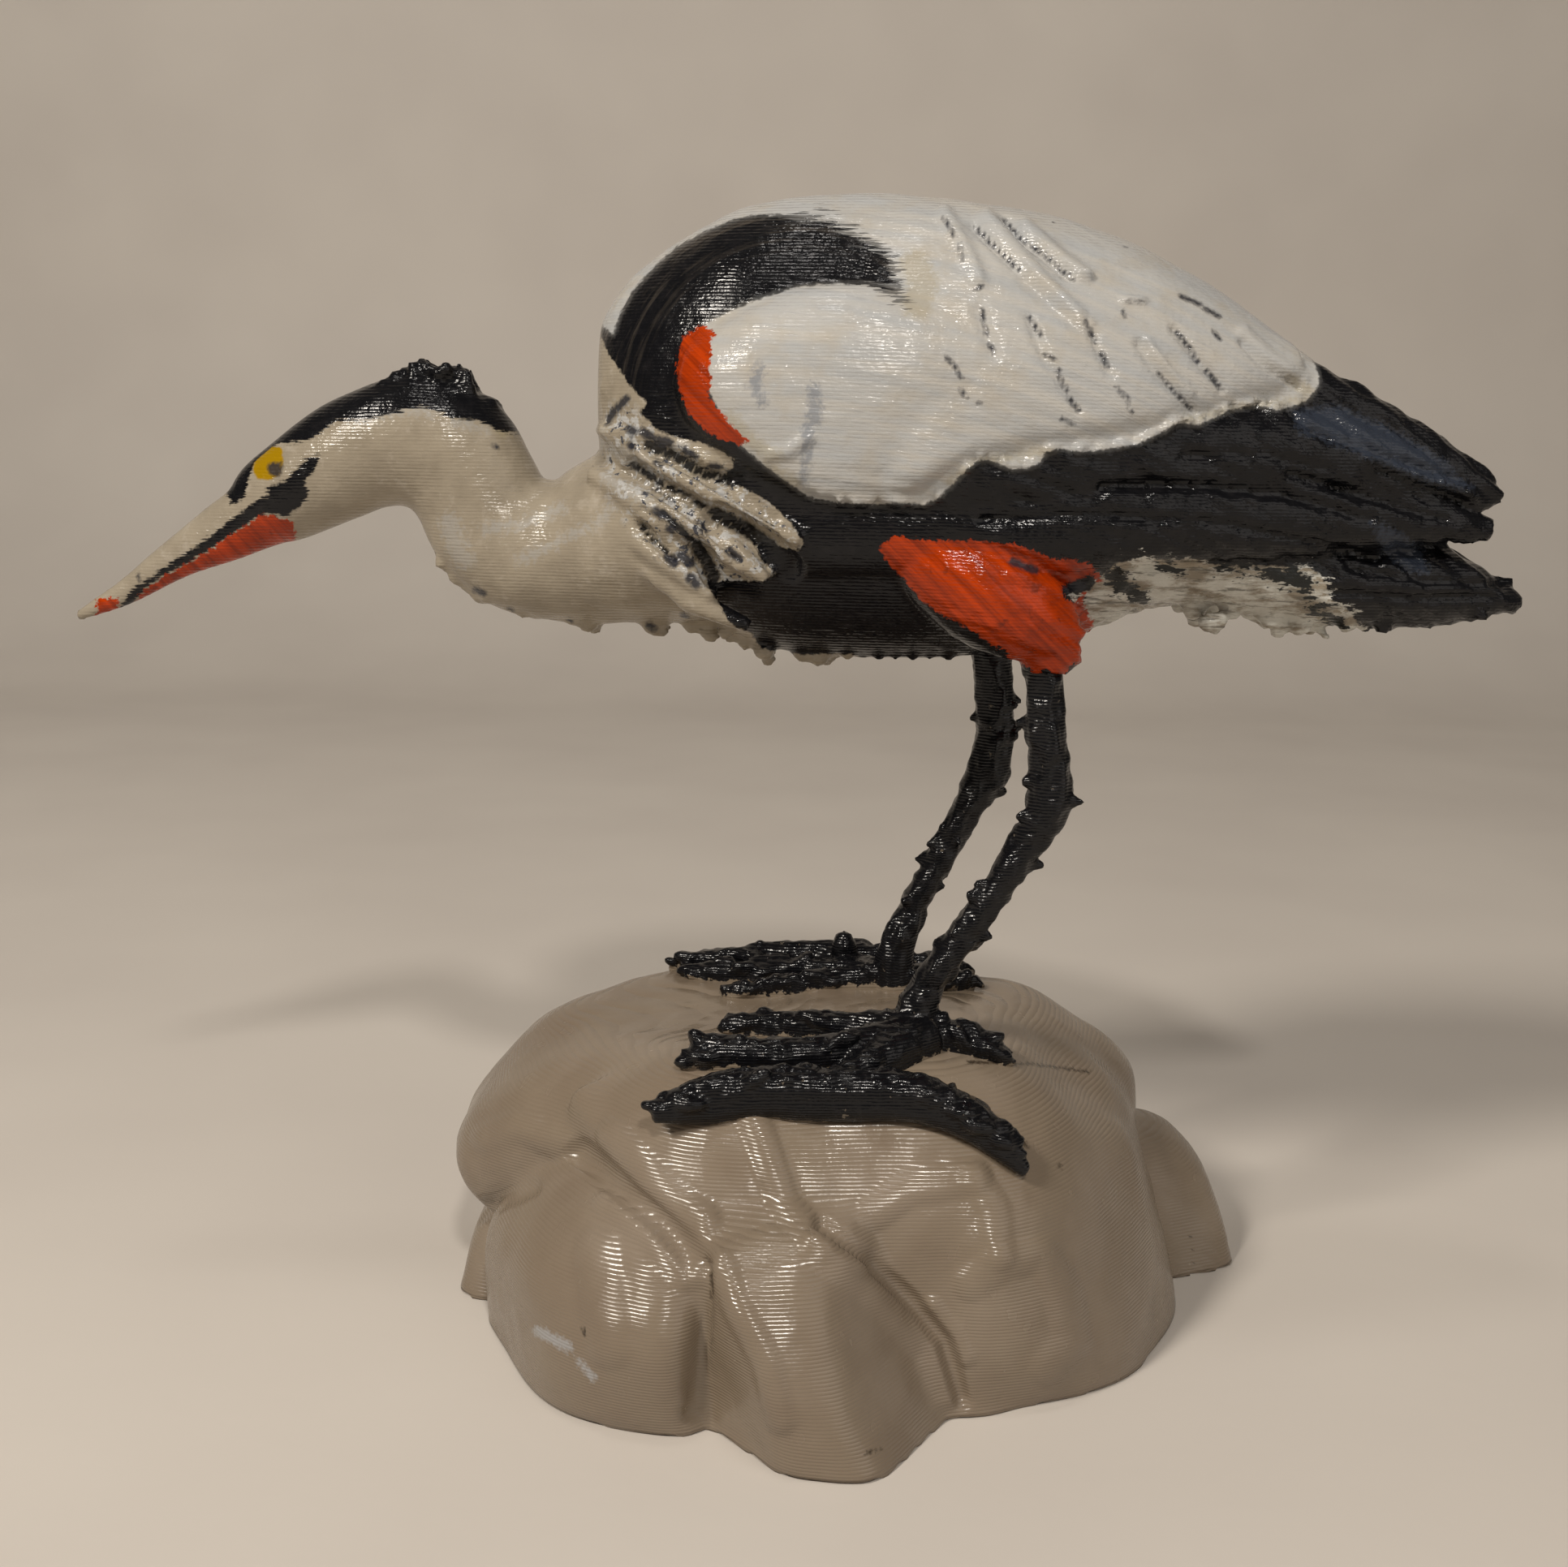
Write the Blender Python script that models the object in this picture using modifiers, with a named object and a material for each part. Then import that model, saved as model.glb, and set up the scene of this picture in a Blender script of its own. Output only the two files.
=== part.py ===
"""A heron stalking on a boulder: a printed and hand-painted figurine, made as one solid.

Metres, +Z up. The origin is in the middle of the boulder's flat underside. The bill points
to -X, the tail to +X, and the bird's left side, with the nearer leg, faces -Y.
"""

import math

import bmesh
import bpy
import numpy as np
from mathutils import Vector

# Driving sizes
BIRD_LENGTH = 0.1488      # tip of the bill to the end of the tail
BACK_HEIGHT = 0.1166      # highest point of the back, above the underside
BODY_WIDTH = 0.0380       # across the folded wings
ROCK_LENGTH = 0.0900      # along X
ROCK_DEPTH = 0.0756       # along Y
ROCK_HEIGHT = 0.0320      # to the ledge that the feet stand on
LEG_DIAMETER = 0.0041     # of the lower leg, paint included
FOOT_LENGTH = 0.0360      # of the left foot, from its longest toe's tip to the outer claw
TOE_DIAMETER = 0.0036     # of a thin toe
RIGHT_SPREAD = 0.62       # how far the right foot's toes spread, as a share of the left's
RIGHT_TOES = 0.80         # their thickness, as a share of the left's
STANCE = 0.0190           # between the two ankles, along Y
THINNEST_CLAW = 0.0003    # radius
CREST_LIFT = 0.0012       # how far the crest's tufts stand off the skull
LAYER = 0.0008            # grain of the solid before it is thinned out
FACETS = 9400             # triangles that are left after thinning out
UNDERSIDE_SPARE = 0.0015  # rock below the cut that makes the underside flat
WELD = 0.00001            # between points that are one

# The tables below are in millimetres on the figurine at its real size. These are metres to
# one unit of a table, so that the tables follow the sizes above.
BIRD = BIRD_LENGTH / 148.8
ACROSS = BODY_WIDTH / 38.0
ROCK_SCALE = np.array((ROCK_LENGTH / 90.0, ROCK_DEPTH / 75.6, ROCK_HEIGHT / 32.0))
FOOT = FOOT_LENGTH / 36.0
TABLE_BACK = 116.6

# Trunk: x, top, widest height, bottom, half width
TRUNK = (
    (-27.3, 101.5, 97.0, 92.5, 2.0),
    (-26.7, 104.4, 96.0, 88.0, 6.0),
    (-24.4, 107.6, 95.0, 83.0, 9.6),
    (-21.1, 110.5, 94.0, 78.0, 12.4),
    (-17.1, 113.1, 93.5, 75.2, 14.2),
    (-13.1, 114.9, 93.0, 72.6, 15.4),
    (-7.0, 116.2, 92.0, 71.0, 16.2),
    (0.0, 116.6, 91.0, 70.6, 16.4),
    (10.0, 115.9, 90.5, 70.9, 15.6),
    (20.0, 114.0, 91.0, 72.8, 14.0),
    (30.0, 110.0, 91.0, 76.2, 11.8),
    (38.7, 104.7, 90.0, 77.0, 9.4),
    (48.0, 99.2, 88.0, 77.0, 6.8),
    (55.0, 94.6, 86.0, 78.0, 4.6),
    (59.0, 91.0, 85.0, 80.0, 2.6),
)

# Bill, head and neck: x and z of the middle line, half thickness in the side view, half width
NECK = (
    (-81.6, 73.3, 0.5, 0.5),
    (-76.3, 76.0, 1.35, 1.2),
    (-70.9, 79.5, 2.1, 1.8),
    (-66.1, 82.1, 3.0, 2.4),
    (-63.2, 83.7, 3.5, 3.0),
    (-60.9, 85.3, 4.5, 4.0),
    (-57.8, 87.1, 5.1, 4.8),
    (-54.2, 89.2, 5.7, 5.3),
    (-50.8, 90.8, 6.0, 5.6),
    (-46.8, 91.6, 6.6, 5.8),
    (-42.6, 90.6, 6.9, 5.8),
    (-40.2, 87.3, 6.6, 5.7),
    (-38.4, 83.9, 6.8, 5.9),
    (-35.4, 81.6, 7.1, 6.4),
    (-31.2, 80.9, 7.3, 7.4),
    (-26.3, 82.0, 8.6, 9.6),
    (-19.0, 84.0, 10.4, 12.6),
    (-9.0, 86.0, 12.0, 14.0),
)

# Front of the folded wing, one side: x, top, bottom, how far out
WING = (
    (-19.0, 98.6, 96.4, 13.6),
    (-17.6, 101.6, 93.8, 15.8),
    (-13.6, 104.6, 90.6, 17.6),
    (-8.0, 106.6, 88.0, 18.7),
    (-1.0, 107.4, 86.8, 19.0),
    (6.0, 107.0, 87.8, 18.4),
    (14.0, 105.0, 91.6, 16.6),
    (22.0, 101.0, 95.0, 12.0),
)
WING_THICKNESS = 15.0
WING_ROUNDING = 1.2       # half thickness of the wing's thin front, in half heights

# Mantle, the rest of both wings and the back: x, top, widest height, lower edge, half width
MANTLE = (
    (-8.0, 112.0, 93.0, 90.0, 12.0),
    (-2.0, 115.2, 91.0, 87.2, 17.0),
    (3.0, 116.2, 90.2, 86.8, 18.8),
    (8.0, 116.0, 92.6, 89.4, 18.6),
    (14.0, 115.2, 94.0, 91.0, 17.8),
    (24.0, 112.9, 96.0, 92.9, 15.8),
    (32.0, 109.0, 98.0, 95.1, 13.2),
    (38.0, 105.2, 99.2, 96.9, 10.6),
    (41.0, 103.0, 100.4, 98.6, 9.0),
)

# Folds of the mantle, one side: points of x, out, z and radius
FOLDS = (
    ((8.2, 10.2, 112.2, 0.9), (9.6, 14.0, 108.6, 1.2), (11.0, 16.4, 104.0, 0.8)),
    ((11.8, 9.4, 111.8, 0.9), (16.0, 13.6, 107.0, 1.3), (21.0, 15.2, 101.6, 0.9)),
    ((15.0, 9.4, 111.4, 0.8), (19.4, 12.4, 107.0, 1.1), (23.0, 13.6, 103.6, 0.6)),
    ((36.4, 9.0, 101.0, 0.7), (39.4, 8.6, 99.8, 1.0), (42.6, 8.0, 98.2, 0.6)),
)

# Flight feathers below the wing, one side: points x, out, z, and half height and half width
FLIGHT_FEATHERS = (
    ((18.0, 11.5, 96.0, 4.6, 3.0), (38.0, 6.8, 97.2, 4.6, 3.0), (52.0, 5.2, 93.8, 3.5, 2.6),
     (60.0, 4.4, 91.0, 2.0, 1.8), (63.6, 4.0, 89.8, 0.8, 0.9)),
    ((8.0, 14.0, 90.0, 5.0, 3.4), (30.0, 10.6, 92.0, 5.0, 3.4), (48.0, 7.0, 91.2, 4.0, 2.8),
     (59.0, 5.0, 89.0, 2.2, 1.8), (63.0, 4.2, 88.0, 0.8, 0.9)),
    ((-6.0, 13.8, 84.4, 5.2, 3.2), (18.0, 12.6, 86.0, 5.2, 3.4), (40.0, 8.8, 86.4, 4.2, 3.0),
     (56.0, 5.8, 85.6, 2.2, 2.0), (62.0, 4.8, 84.9, 0.9, 1.0)),
)

# Tail: x, top, bottom, half width
TAIL = (
    (20.0, 86.0, 76.0, 10.0),
    (32.0, 86.0, 77.0, 9.4),
    (44.0, 85.4, 75.2, 8.2),
    (54.0, 84.2, 74.4, 6.8),
    (60.0, 82.8, 75.0, 5.4),
    (65.0, 79.6, 76.0, 3.8),
    (67.2, 78.0, 76.6, 2.4),
)

# Tibial feathers, one side: x, out, z, radius
THIGH = (
    (1.6, 12.2, 82.6, 1.6),
    (5.6, 12.2, 81.2, 4.0),
    (10.6, 11.4, 79.0, 5.5),
    (15.0, 10.6, 76.4, 5.1),
    (17.6, 10.1, 73.4, 3.6),
    (17.6, 9.9, 70.6, 2.4),
)

# Legs from hip to ankle: x, z and thickness as a share of the leg's diameter. The height
# is a share of the way from the ankle, 0, to the hip, 1.
LEFT_LEG = (
    (17.4, 1.00, 0.95), (17.9, 0.83, 1.02), (18.5, 0.71, 1.12), (18.4, 0.61, 1.22),
    (16.8, 0.51, 0.96), (14.4, 0.40, 0.88), (12.2, 0.30, 0.86), (9.8, 0.20, 0.84),
    (7.5, 0.10, 0.86), (5.9, 0.00, 1.16),
)
RIGHT_LEG = (
    (14.4, 1.00, 1.22), (15.1, 0.84, 1.20), (15.2, 0.70, 1.18), (14.5, 0.60, 1.22),
    (12.4, 0.48, 0.94), (10.3, 0.36, 0.86), (8.1, 0.24, 0.86), (6.0, 0.12, 0.88),
    (4.8, 0.00, 1.20),
)
HIP_TABLE_Z = 71.0
LEG_SPLAY = 0.05          # how much further apart the hips are than the ankles, as a share
ROOT = 0.4                # how far the legs reach into the rock, in leg diameters
ANKLE_LIFT = 0.8          # height of the ankle above the rock, in leg diameters
TABLE_ANKLE_X = LEFT_LEG[-1][0]

# Toes of one foot: a name, and points with x, the distance out from the ankle, the thickness
# as a share of a thin toe's, the middle line's height above the rock in thin toes, and how far
# below the ledge the toe may follow the rock.
TOES = (
    ("outer", ((-20.0, 14.2, 0.40, 0.10, 3.0), (-16.0, 12.6, 1.20, 0.45, 3.0),
               (-10.0, 11.6, 1.40, 0.62, 3.0), (-2.0, 11.4, 1.45, 0.68, 3.0),
               (5.0, 11.4, 1.32, 0.60, 3.0), (10.0, 12.2, 1.15, 0.40, 4.0),
               (13.6, 13.0, 0.85, 0.20, 6.0), (16.0, 13.4, 0.40, 0.00, 8.0))),
    ("middle", ((-17.6, 6.2, 0.60, 0.10, 3.0), (-14.6, 6.0, 1.15, 0.35, 3.0),
                (-8.0, 6.0, 1.10, 0.42, 3.0), (-1.0, 4.4, 1.15, 0.45, 3.0),
                (6.0, 1.2, 1.30, 0.50, 3.0))),
    ("inner", ((-13.4, -2.4, 0.45, 0.05, 3.0), (-11.6, -2.8, 0.80, 0.30, 3.0),
               (-6.0, -1.6, 0.95, 0.35, 3.0), (-1.0, -0.4, 1.05, 0.40, 3.0),
               (5.6, 0.6, 1.30, 0.50, 3.0))),
    ("web", ((-4.0, 10.4, 1.00, 0.20, 3.0), (2.0, 6.0, 1.40, 0.30, 3.0),
             (7.0, 1.4, 1.50, 0.45, 3.0))),
    ("hind", ((6.0, 0.6, 1.30, 0.50, 3.0), (10.2, 0.8, 1.15, 0.38, 3.0),
              (13.6, 1.4, 1.00, 0.25, 3.0), (15.0, 2.4, 0.50, 0.05, 3.0))),
)

# Plumes that hang over the breast, one side: points of x, out, z and radius
PLUME_FLATNESS = 1.3      # width over thickness
PLUMES = (
    ((-26.0, 6.0, 97.2, 0.8), (-21.0, 10.6, 94.8, 1.3), (-14.6, 14.2, 91.4, 0.8)),
    ((-26.2, 6.8, 93.2, 1.0), (-20.0, 11.4, 90.2, 1.6), (-13.0, 14.4, 86.6, 1.4),
     (-6.8, 15.6, 83.2, 0.7)),
    ((-27.4, 6.4, 89.0, 0.9), (-20.6, 11.4, 85.6, 1.6), (-13.6, 13.8, 82.0, 1.3),
     (-9.8, 14.4, 79.4, 0.7)),
    ((-26.0, 7.6, 84.6, 0.9), (-20.0, 11.0, 81.2, 1.5), (-15.0, 12.4, 77.6, 0.8)),
    ((-22.4, 9.6, 80.6, 0.8), (-17.0, 11.4, 77.0, 1.2), (-11.6, 12.0, 74.8, 0.7)),
)

# Crest tufts: x, out, z, length along the nape, thickness
CREST = (
    (-46.6, 1.6, 97.9, 3.2, 1.5), (-43.6, 2.4, 98.0, 2.8, 1.5), (-41.2, 1.2, 97.2, 2.6, 1.5),
    (-40.0, 3.4, 95.4, 2.4, 1.4), (-38.6, 1.4, 94.6, 2.2, 1.3), (-49.0, 0.6, 97.2, 3.0, 1.2),
)
# Each tuft's root, crown and tip: along its length, out as a share, down into the skull, up as
# a share of CREST_LIFT, and how high and how wide it is as shares of its thickness
TUFT = (
    (-0.6, 1.0, 0.6, 0.0, 0.50, 0.60),
    (0.0, 1.0, 0.0, 0.6, 1.00, 1.00),
    (0.7, 1.1, 0.0, 0.4, 0.35, 0.40),
)

# Boulder: chunks that overlap. Each has a name, the radius that rounds its edges, and its
# facets: the turn and the tilt in degrees of the direction that a facet faces, and the x, y
# and z of a point on it.
CHUNKS = (
    ("main", 1.3, (
        (0, 90, 0, 0, 31.8), (180, 78, -26, 4, 30.9), (-78, 47, 0, -22, 28.6),
        (-116, 38, -15.2, -22.6, 27.8), (-90, 5, 0, -27, 10), (-150, 10, -34, -8, 10),
        (-150, 58, -24, -16, 28.2), (180, 8, -38, 0, 15), (-12, 52, 29.0, -3, 23.0),
        (-46, 44, 21, -18.2, 25.0), (-48, 8, 23, -19, 2), (-5, 8, 33.5, 0, 8),
        (80, 56, 10, 26, 28.2), (92, 8, 0, 34, 10), (135, 30, -26, 24, 20),
        (50, 32, 24, 24, 20.5))),
    ("upper left", 1.2, (
        (180, 71, -33, 6, 28.0), (178, 42, -40.2, 2, 22.7), (180, 2, -44.7, 0, 17.5),
        (178, -52, -40.6, 0, 11.6), (-118, 46, -32, -12, 24.6), (-112, -20, -36, -9, 14),
        (100, 52, -32, 16, 27), (110, 0, -30, 20, 14), (-140, 15, -40.5, -8, 17),
        (0, 0, -12, 0, 15), (0, 90, 0, 0, 31))),
    ("lower left", 1.2, (
        (180, 6, -41.8, 5, 5), (180, 50, -40, 5, 10.6), (-110, 15, -38, -4, 5),
        (90, 10, -30, 20, 5), (0, 0, -10, 0, 5), (0, 90, -20, 0, 14))),
    ("front left", 1.4, (
        (-122, 72, -25, -24, 20.2), (-118, 46, -26, -27.5, 17.6), (-112, 24, -24, -31.8, 14.4),
        (-110, 0, -23, -33.4, 9), (-112, -22, -22.4, -30.4, 0.6), (-160, -3, -36.3, -17, 8),
        (-165, 40, -34, -17, 15.5), (-140, -12, -31, -25.5, 2), (-32, 4, -15.0, -31, 10),
        (-60, 34, -17.5, -31, 16.0), (90, 0, 0, -8, 5))),
    ("prow", 0.8, (
        (-140, -2, -10.8, -34.8, 8), (-90, 4, -4, -38.3, 3), (-86, 26, -6, -37.4, 10),
        (-38, 21, 8.6, -28.6, 0), (-95, 60, -6, -33.6, 17.2), (90, 0, 0, -12, 5))),
    ("right", 1.6, (
        (-72, 54, 18, -21.5, 25.6), (-84, 30, 14, -28.0, 18.2), (-80, 4, 17.5, -29, 11.5),
        (-78, -20, 19.3, -25.6, 1.2), (-48, 10, 25, -21.2, 4), (-28, 10, 33.6, -10, 4),
        (-8, 14, 34.6, -6, 6.5), (-30, 44, 30.5, -8.6, 18.8), (-128, 4, 9.4, -28, 8),
        (90, 0, 0, 6, 5), (180, 0, -2, 0, 5), (0, 90, 0, 0, 27))),
    ("low right", 1.4, (
        (8, 42, 40, 14, 12.6), (2, 8, 44.6, 13, 3), (-68, 18, 40, 4.5, 4),
        (85, 22, 36, 24, 4), (-50, 48, 37, 6, 12), (180, 0, 20, 0, 5), (0, 90, 30, 0, 15))),
    ("back left", 2.0, (
        (92, 12, -14, 33.8, 8), (128, 18, -27, 29, 8), (60, 10, -2, 33, 8),
        (95, 48, -14, 30.5, 21), (180, 20, -33, 20, 8), (-90, 0, 0, 0, 5), (0, 90, 0, 0, 28),
        (0, 0, 5, 0, 5))),
    ("back right", 1.6, (
        (85, 10, 12, 34.8, 8), (40, 14, 25, 28, 8), (135, 10, -1, 33.6, 8),
        (85, 46, 12, 31, 20), (15, 40, 29.5, 16, 21), (0, 12, 32.5, 14, 12),
        (-60, 10, 28, 8, 15), (-90, 0, 0, 0, 5), (0, 90, 0, 0, 27.5), (180, 0, -5, 0, 5))),
)
CREASE = 0.3              # radius that rounds the creases between the chunks
# Waves that make the facets less regular: along x, y and z in radians for each unit of the
# table, a phase, and a height
WAVES = (
    (0.19, 0.07, 0.11, 0.4, 0.30),
    (-0.09, 0.21, 0.13, 2.1, 0.30),
    (0.13, -0.16, 0.23, 4.0, 0.22),
    (0.31, 0.27, -0.19, 1.2, 0.12),
)
ROCK_SEED = np.array((-1.0, 0.0, 6.0))
ROCK_REACH = 70.0


def clear_scene():
    for obj in list(bpy.data.objects):
        bpy.data.objects.remove(obj, do_unlink=True)


def smooth_rows(table, steps):
    """Rows between the table's own, on Catmull-Rom curves through them."""
    rows = np.array(table, float)
    ends = np.vstack((2 * rows[0] - rows[1], rows, 2 * rows[-1] - rows[-2]))
    out = []
    for i in range(1, len(ends) - 2):
        a, b, c, d = ends[i - 1:i + 3]
        for t in np.arange(steps) / steps:
            out.append(0.5 * (2 * b + (c - a) * t + (2 * a - 5 * b + 4 * c - d) * t ** 2
                              + (3 * b - a - 3 * c + d) * t ** 3))
    out.append(rows[-1])
    return np.array(out)


def bird_point(x, y, z):
    """A point of the bird's tables in metres: its back stays at BACK_HEIGHT."""
    return np.array((x * BIRD, y * ACROSS, BACK_HEIGHT + (z - TABLE_BACK) * BIRD))


def mesh_object(name, vertices, faces):
    mesh = bpy.data.meshes.new(name)
    mesh.from_pydata([tuple(v) for v in vertices], [], faces)
    obj = bpy.data.objects.new(name, mesh)
    bpy.context.scene.collection.objects.link(obj)
    return obj


def loft(name, rings):
    """A closed body through rings of the same number of points, in order."""
    count, sides = len(rings), len(rings[0])
    faces = []
    for i in range(count - 1):
        for j in range(sides):
            k = (j + 1) % sides
            faces.append((i * sides + j, i * sides + k, (i + 1) * sides + k, (i + 1) * sides + j))
    faces.append(tuple(reversed(range(sides))))
    faces.append(tuple(range((count - 1) * sides, count * sides)))
    obj = mesh_object(name, np.concatenate(rings), faces)
    work = bmesh.new()
    work.from_mesh(obj.data)
    bmesh.ops.recalc_face_normals(work, faces=work.faces)
    work.to_mesh(obj.data)
    work.free()
    return obj


def upright_ring(x, y, widest, above, below, half, sides=40):
    """An egg-shaped ring in a plane of constant x, in bird table units."""
    points = []
    for k in range(sides):
        a = 2 * math.pi * k / sides
        rise = above if math.sin(a) > 0 else below
        points.append(bird_point(x, y + half * math.cos(a), widest + rise * math.sin(a)))
    return np.array(points)


def tube_rings(rows, sides=24):
    """Elliptic rings square to a middle line: rows of x, y, z, half thickness, half width."""
    rings = []
    for i, (x, y, z, thick, wide) in enumerate(rows):
        before, after = rows[max(i - 1, 0)], rows[min(i + 1, len(rows) - 1)]
        along = Vector((after[0] - before[0], after[1] - before[1], after[2] - before[2]))
        along.normalize()
        side = Vector((0.0, 1.0, 0.0))
        side = (side - along * side.dot(along)).normalized()
        up = side.cross(along)
        ring = []
        for k in range(sides):
            a = 2 * math.pi * k / sides
            p = Vector((x, y, z)) + side * (wide * math.cos(a)) + up * (thick * math.sin(a))
            ring.append(bird_point(*p))
        rings.append(np.array(ring))
    return rings


def make_trunk():
    rings = [upright_ring(x, 0.0, mid, top - mid, mid - bottom, half)
             for x, top, mid, bottom, half in smooth_rows(TRUNK, 4)]
    return [loft("trunk", rings)]


def make_neck():
    rows = smooth_rows([(x, 0.0, z, thick, wide) for x, z, thick, wide in NECK], 4)
    return [loft("neck", tube_rings(rows, 32))]


def make_wings():
    made = []
    for side in (-1, 1):
        rings = []
        for x, top, bottom, out in smooth_rows(WING, 4):
            middle, half = (top + bottom) / 2, (top - bottom) / 2
            deep = min(WING_THICKNESS / 2, half * WING_ROUNDING)
            rings.append(upright_ring(x, side * (out - deep), middle, half, half, deep))
        made.append(loft("wing", rings))
        for table in FOLDS:
            rows = smooth_rows([(x, side * out, z, r, r) for x, out, z, r in table], 4)
            made.append(loft("fold", tube_rings(rows, 12)))
    rings = [upright_ring(x, 0.0, mid, top - mid, mid - bottom, half)
             for x, top, mid, bottom, half in smooth_rows(MANTLE, 4)]
    made.append(loft("mantle", rings))
    return made


def make_feathers():
    made = []
    for side in (-1, 1):
        for table in FLIGHT_FEATHERS:
            rows = smooth_rows([(x, side * out, z, high, wide)
                                for x, out, z, high, wide in table], 5)
            made.append(loft("feather", tube_rings(rows)))
    rings = [upright_ring(x, 0.0, (top + bottom) / 2, (top - bottom) / 2,
                          (top - bottom) / 2, half)
             for x, top, bottom, half in smooth_rows(TAIL, 4)]
    made.append(loft("tail", rings))
    return made


def make_thighs():
    made = []
    for side in (-1, 1):
        rows = smooth_rows([(x, side * out, z, r, r) for x, out, z, r in THIGH], 4)
        made.append(loft("thigh", tube_rings(rows)))
    return made


def make_plumes():
    made = []
    for side in (-1, 1):
        for table in PLUMES:
            rows = smooth_rows([(x, side * out, z, r, r * PLUME_FLATNESS)
                                for x, out, z, r in table], 5)
            made.append(loft("plume", tube_rings(rows, 14)))
    return made


def make_crest():
    """Short tufts that stand off the back of the skull."""
    made = []
    lift = CREST_LIFT / BIRD
    for x, out, z, length, thick in CREST:
        for side in (-1, 1):
            rows = [(x + length * along, side * out * wider, z - down + lift * up,
                     thick * high, thick * wide) for along, wider, down, up, high, wide in TUFT]
            made.append(loft("tuft", tube_rings(smooth_rows(rows, 4), 10)))
    return made


def facing(turn, tilt):
    """The direction a facet faces, from its turn and tilt in degrees."""
    a, e = math.radians(turn), math.radians(tilt)
    return np.array((math.cos(e) * math.cos(a), math.cos(e) * math.sin(a), math.sin(e)))


def soft_max(values, radius):
    """The largest of the values at each point, with its steps rounded by a radius."""
    top = values.max(axis=0)
    return top + radius * np.log(np.exp((values - top) / radius).sum(axis=0))


def rock_field(points):
    """Below zero inside the boulder. Points are in rock table units."""
    chunks = []
    for _name, rounding, facets in CHUNKS:
        outside = [(points - (x, y, z)) @ facing(turn, tilt) for turn, tilt, x, y, z in facets]
        chunks.append(soft_max(np.array(outside), rounding))
    value = -soft_max(-np.array(chunks), CREASE)
    for wx, wy, wz, phase, height in WAVES:
        value += height * np.sin(points @ np.array((wx, wy, wz)) + phase)
    return value


def outermost(start, direction, reach, samples=90):
    """How far along each ray the boulder's surface is last crossed."""
    inside = np.zeros(len(start))
    for t in np.linspace(0, reach, samples):
        inside = np.where(rock_field(start + direction * t) < 0, t, inside)
    low, high = inside, inside + reach / (samples - 1)
    for _ in range(12):
        middle = (low + high) / 2
        within = rock_field(start + direction * middle[:, None]) < 0
        low, high = np.where(within, middle, low), np.where(within, high, middle)
    return (low + high) / 2


def make_rock():
    work = bmesh.new()
    bmesh.ops.create_icosphere(work, subdivisions=5, radius=1.0)
    directions = np.array([v.co.normalized()[:] for v in work.verts])
    starts = np.repeat(ROCK_SEED[None, :], len(directions), axis=0)
    reach = outermost(starts, directions, ROCK_REACH)
    for vertex, point in zip(work.verts, ROCK_SEED + directions * reach[:, None]):
        point = point * ROCK_SCALE
        point[2] = max(point[2], -UNDERSIDE_SPARE)
        vertex.co = point
    mesh = bpy.data.meshes.new("boulder")
    work.to_mesh(mesh)
    work.free()
    obj = bpy.data.objects.new("boulder", mesh)
    bpy.context.scene.collection.objects.link(obj)
    return [obj]


def rock_top(x, y):
    """Height in metres of the boulder's surface over a point in metres."""
    over = np.array([[x, y, 0.0]]) / ROCK_SCALE
    up = np.array([[0.0, 0.0, 1.0]])
    return float(outermost(over, up, ROCK_REACH)[0] * ROCK_SCALE[2])


def tube(name, points, radii):
    """A round tube with filled caps, turned from a curve into a mesh."""
    data = bpy.data.curves.new(name, "CURVE")
    data.dimensions = "3D"
    data.bevel_depth = 1.0
    data.bevel_resolution = 3
    data.use_fill_caps = True
    spline = data.splines.new("POLY")
    spline.points.add(len(points) - 1)
    for point, place, radius in zip(spline.points, points, radii):
        point.co = (*place, 1.0)
        point.radius = radius
    curve = bpy.data.objects.new(name, data)
    bpy.context.scene.collection.objects.link(curve)
    graph = bpy.context.evaluated_depsgraph_get()
    mesh = bpy.data.meshes.new_from_object(curve.evaluated_get(graph))
    obj = bpy.data.objects.new(name, mesh)
    obj.matrix_world = curve.matrix_world
    bpy.context.scene.collection.objects.link(obj)
    bpy.data.objects.remove(curve)
    work = bmesh.new()
    work.from_mesh(mesh)
    bmesh.ops.remove_doubles(work, verts=work.verts, dist=WELD)
    bmesh.ops.recalc_face_normals(work, faces=work.faces)
    work.to_mesh(mesh)
    work.free()
    return obj


def ankle(table, side):
    """Where a leg meets its foot, in metres."""
    x, y = table[-1][0] * BIRD, side * STANCE / 2
    return np.array((x, y, rock_top(x, y) + ANKLE_LIFT * LEG_DIAMETER))


def make_leg(table, side):
    """A tube from inside the thigh to inside the boulder."""
    foot = ankle(table, side)
    hip_z = bird_point(0.0, 0.0, HIP_TABLE_Z)[2]
    points, radii = [], []
    for x, share, thickness in smooth_rows(table, 4):
        splay = 1.0 + LEG_SPLAY * max(share, 0.0)
        points.append((x * BIRD, foot[1] * splay, foot[2] + (hip_z - foot[2]) * share))
        radii.append(LEG_DIAMETER / 2 * thickness)
    x, y, z = points[0]
    points.insert(0, (x, y, z + LEG_DIAMETER))
    radii.insert(0, radii[0])
    points.append((foot[0], foot[1], foot[2] - (ANKLE_LIFT + ROOT) * LEG_DIAMETER))
    radii.append(radii[-1])
    return tube("leg", points, radii)


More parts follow.
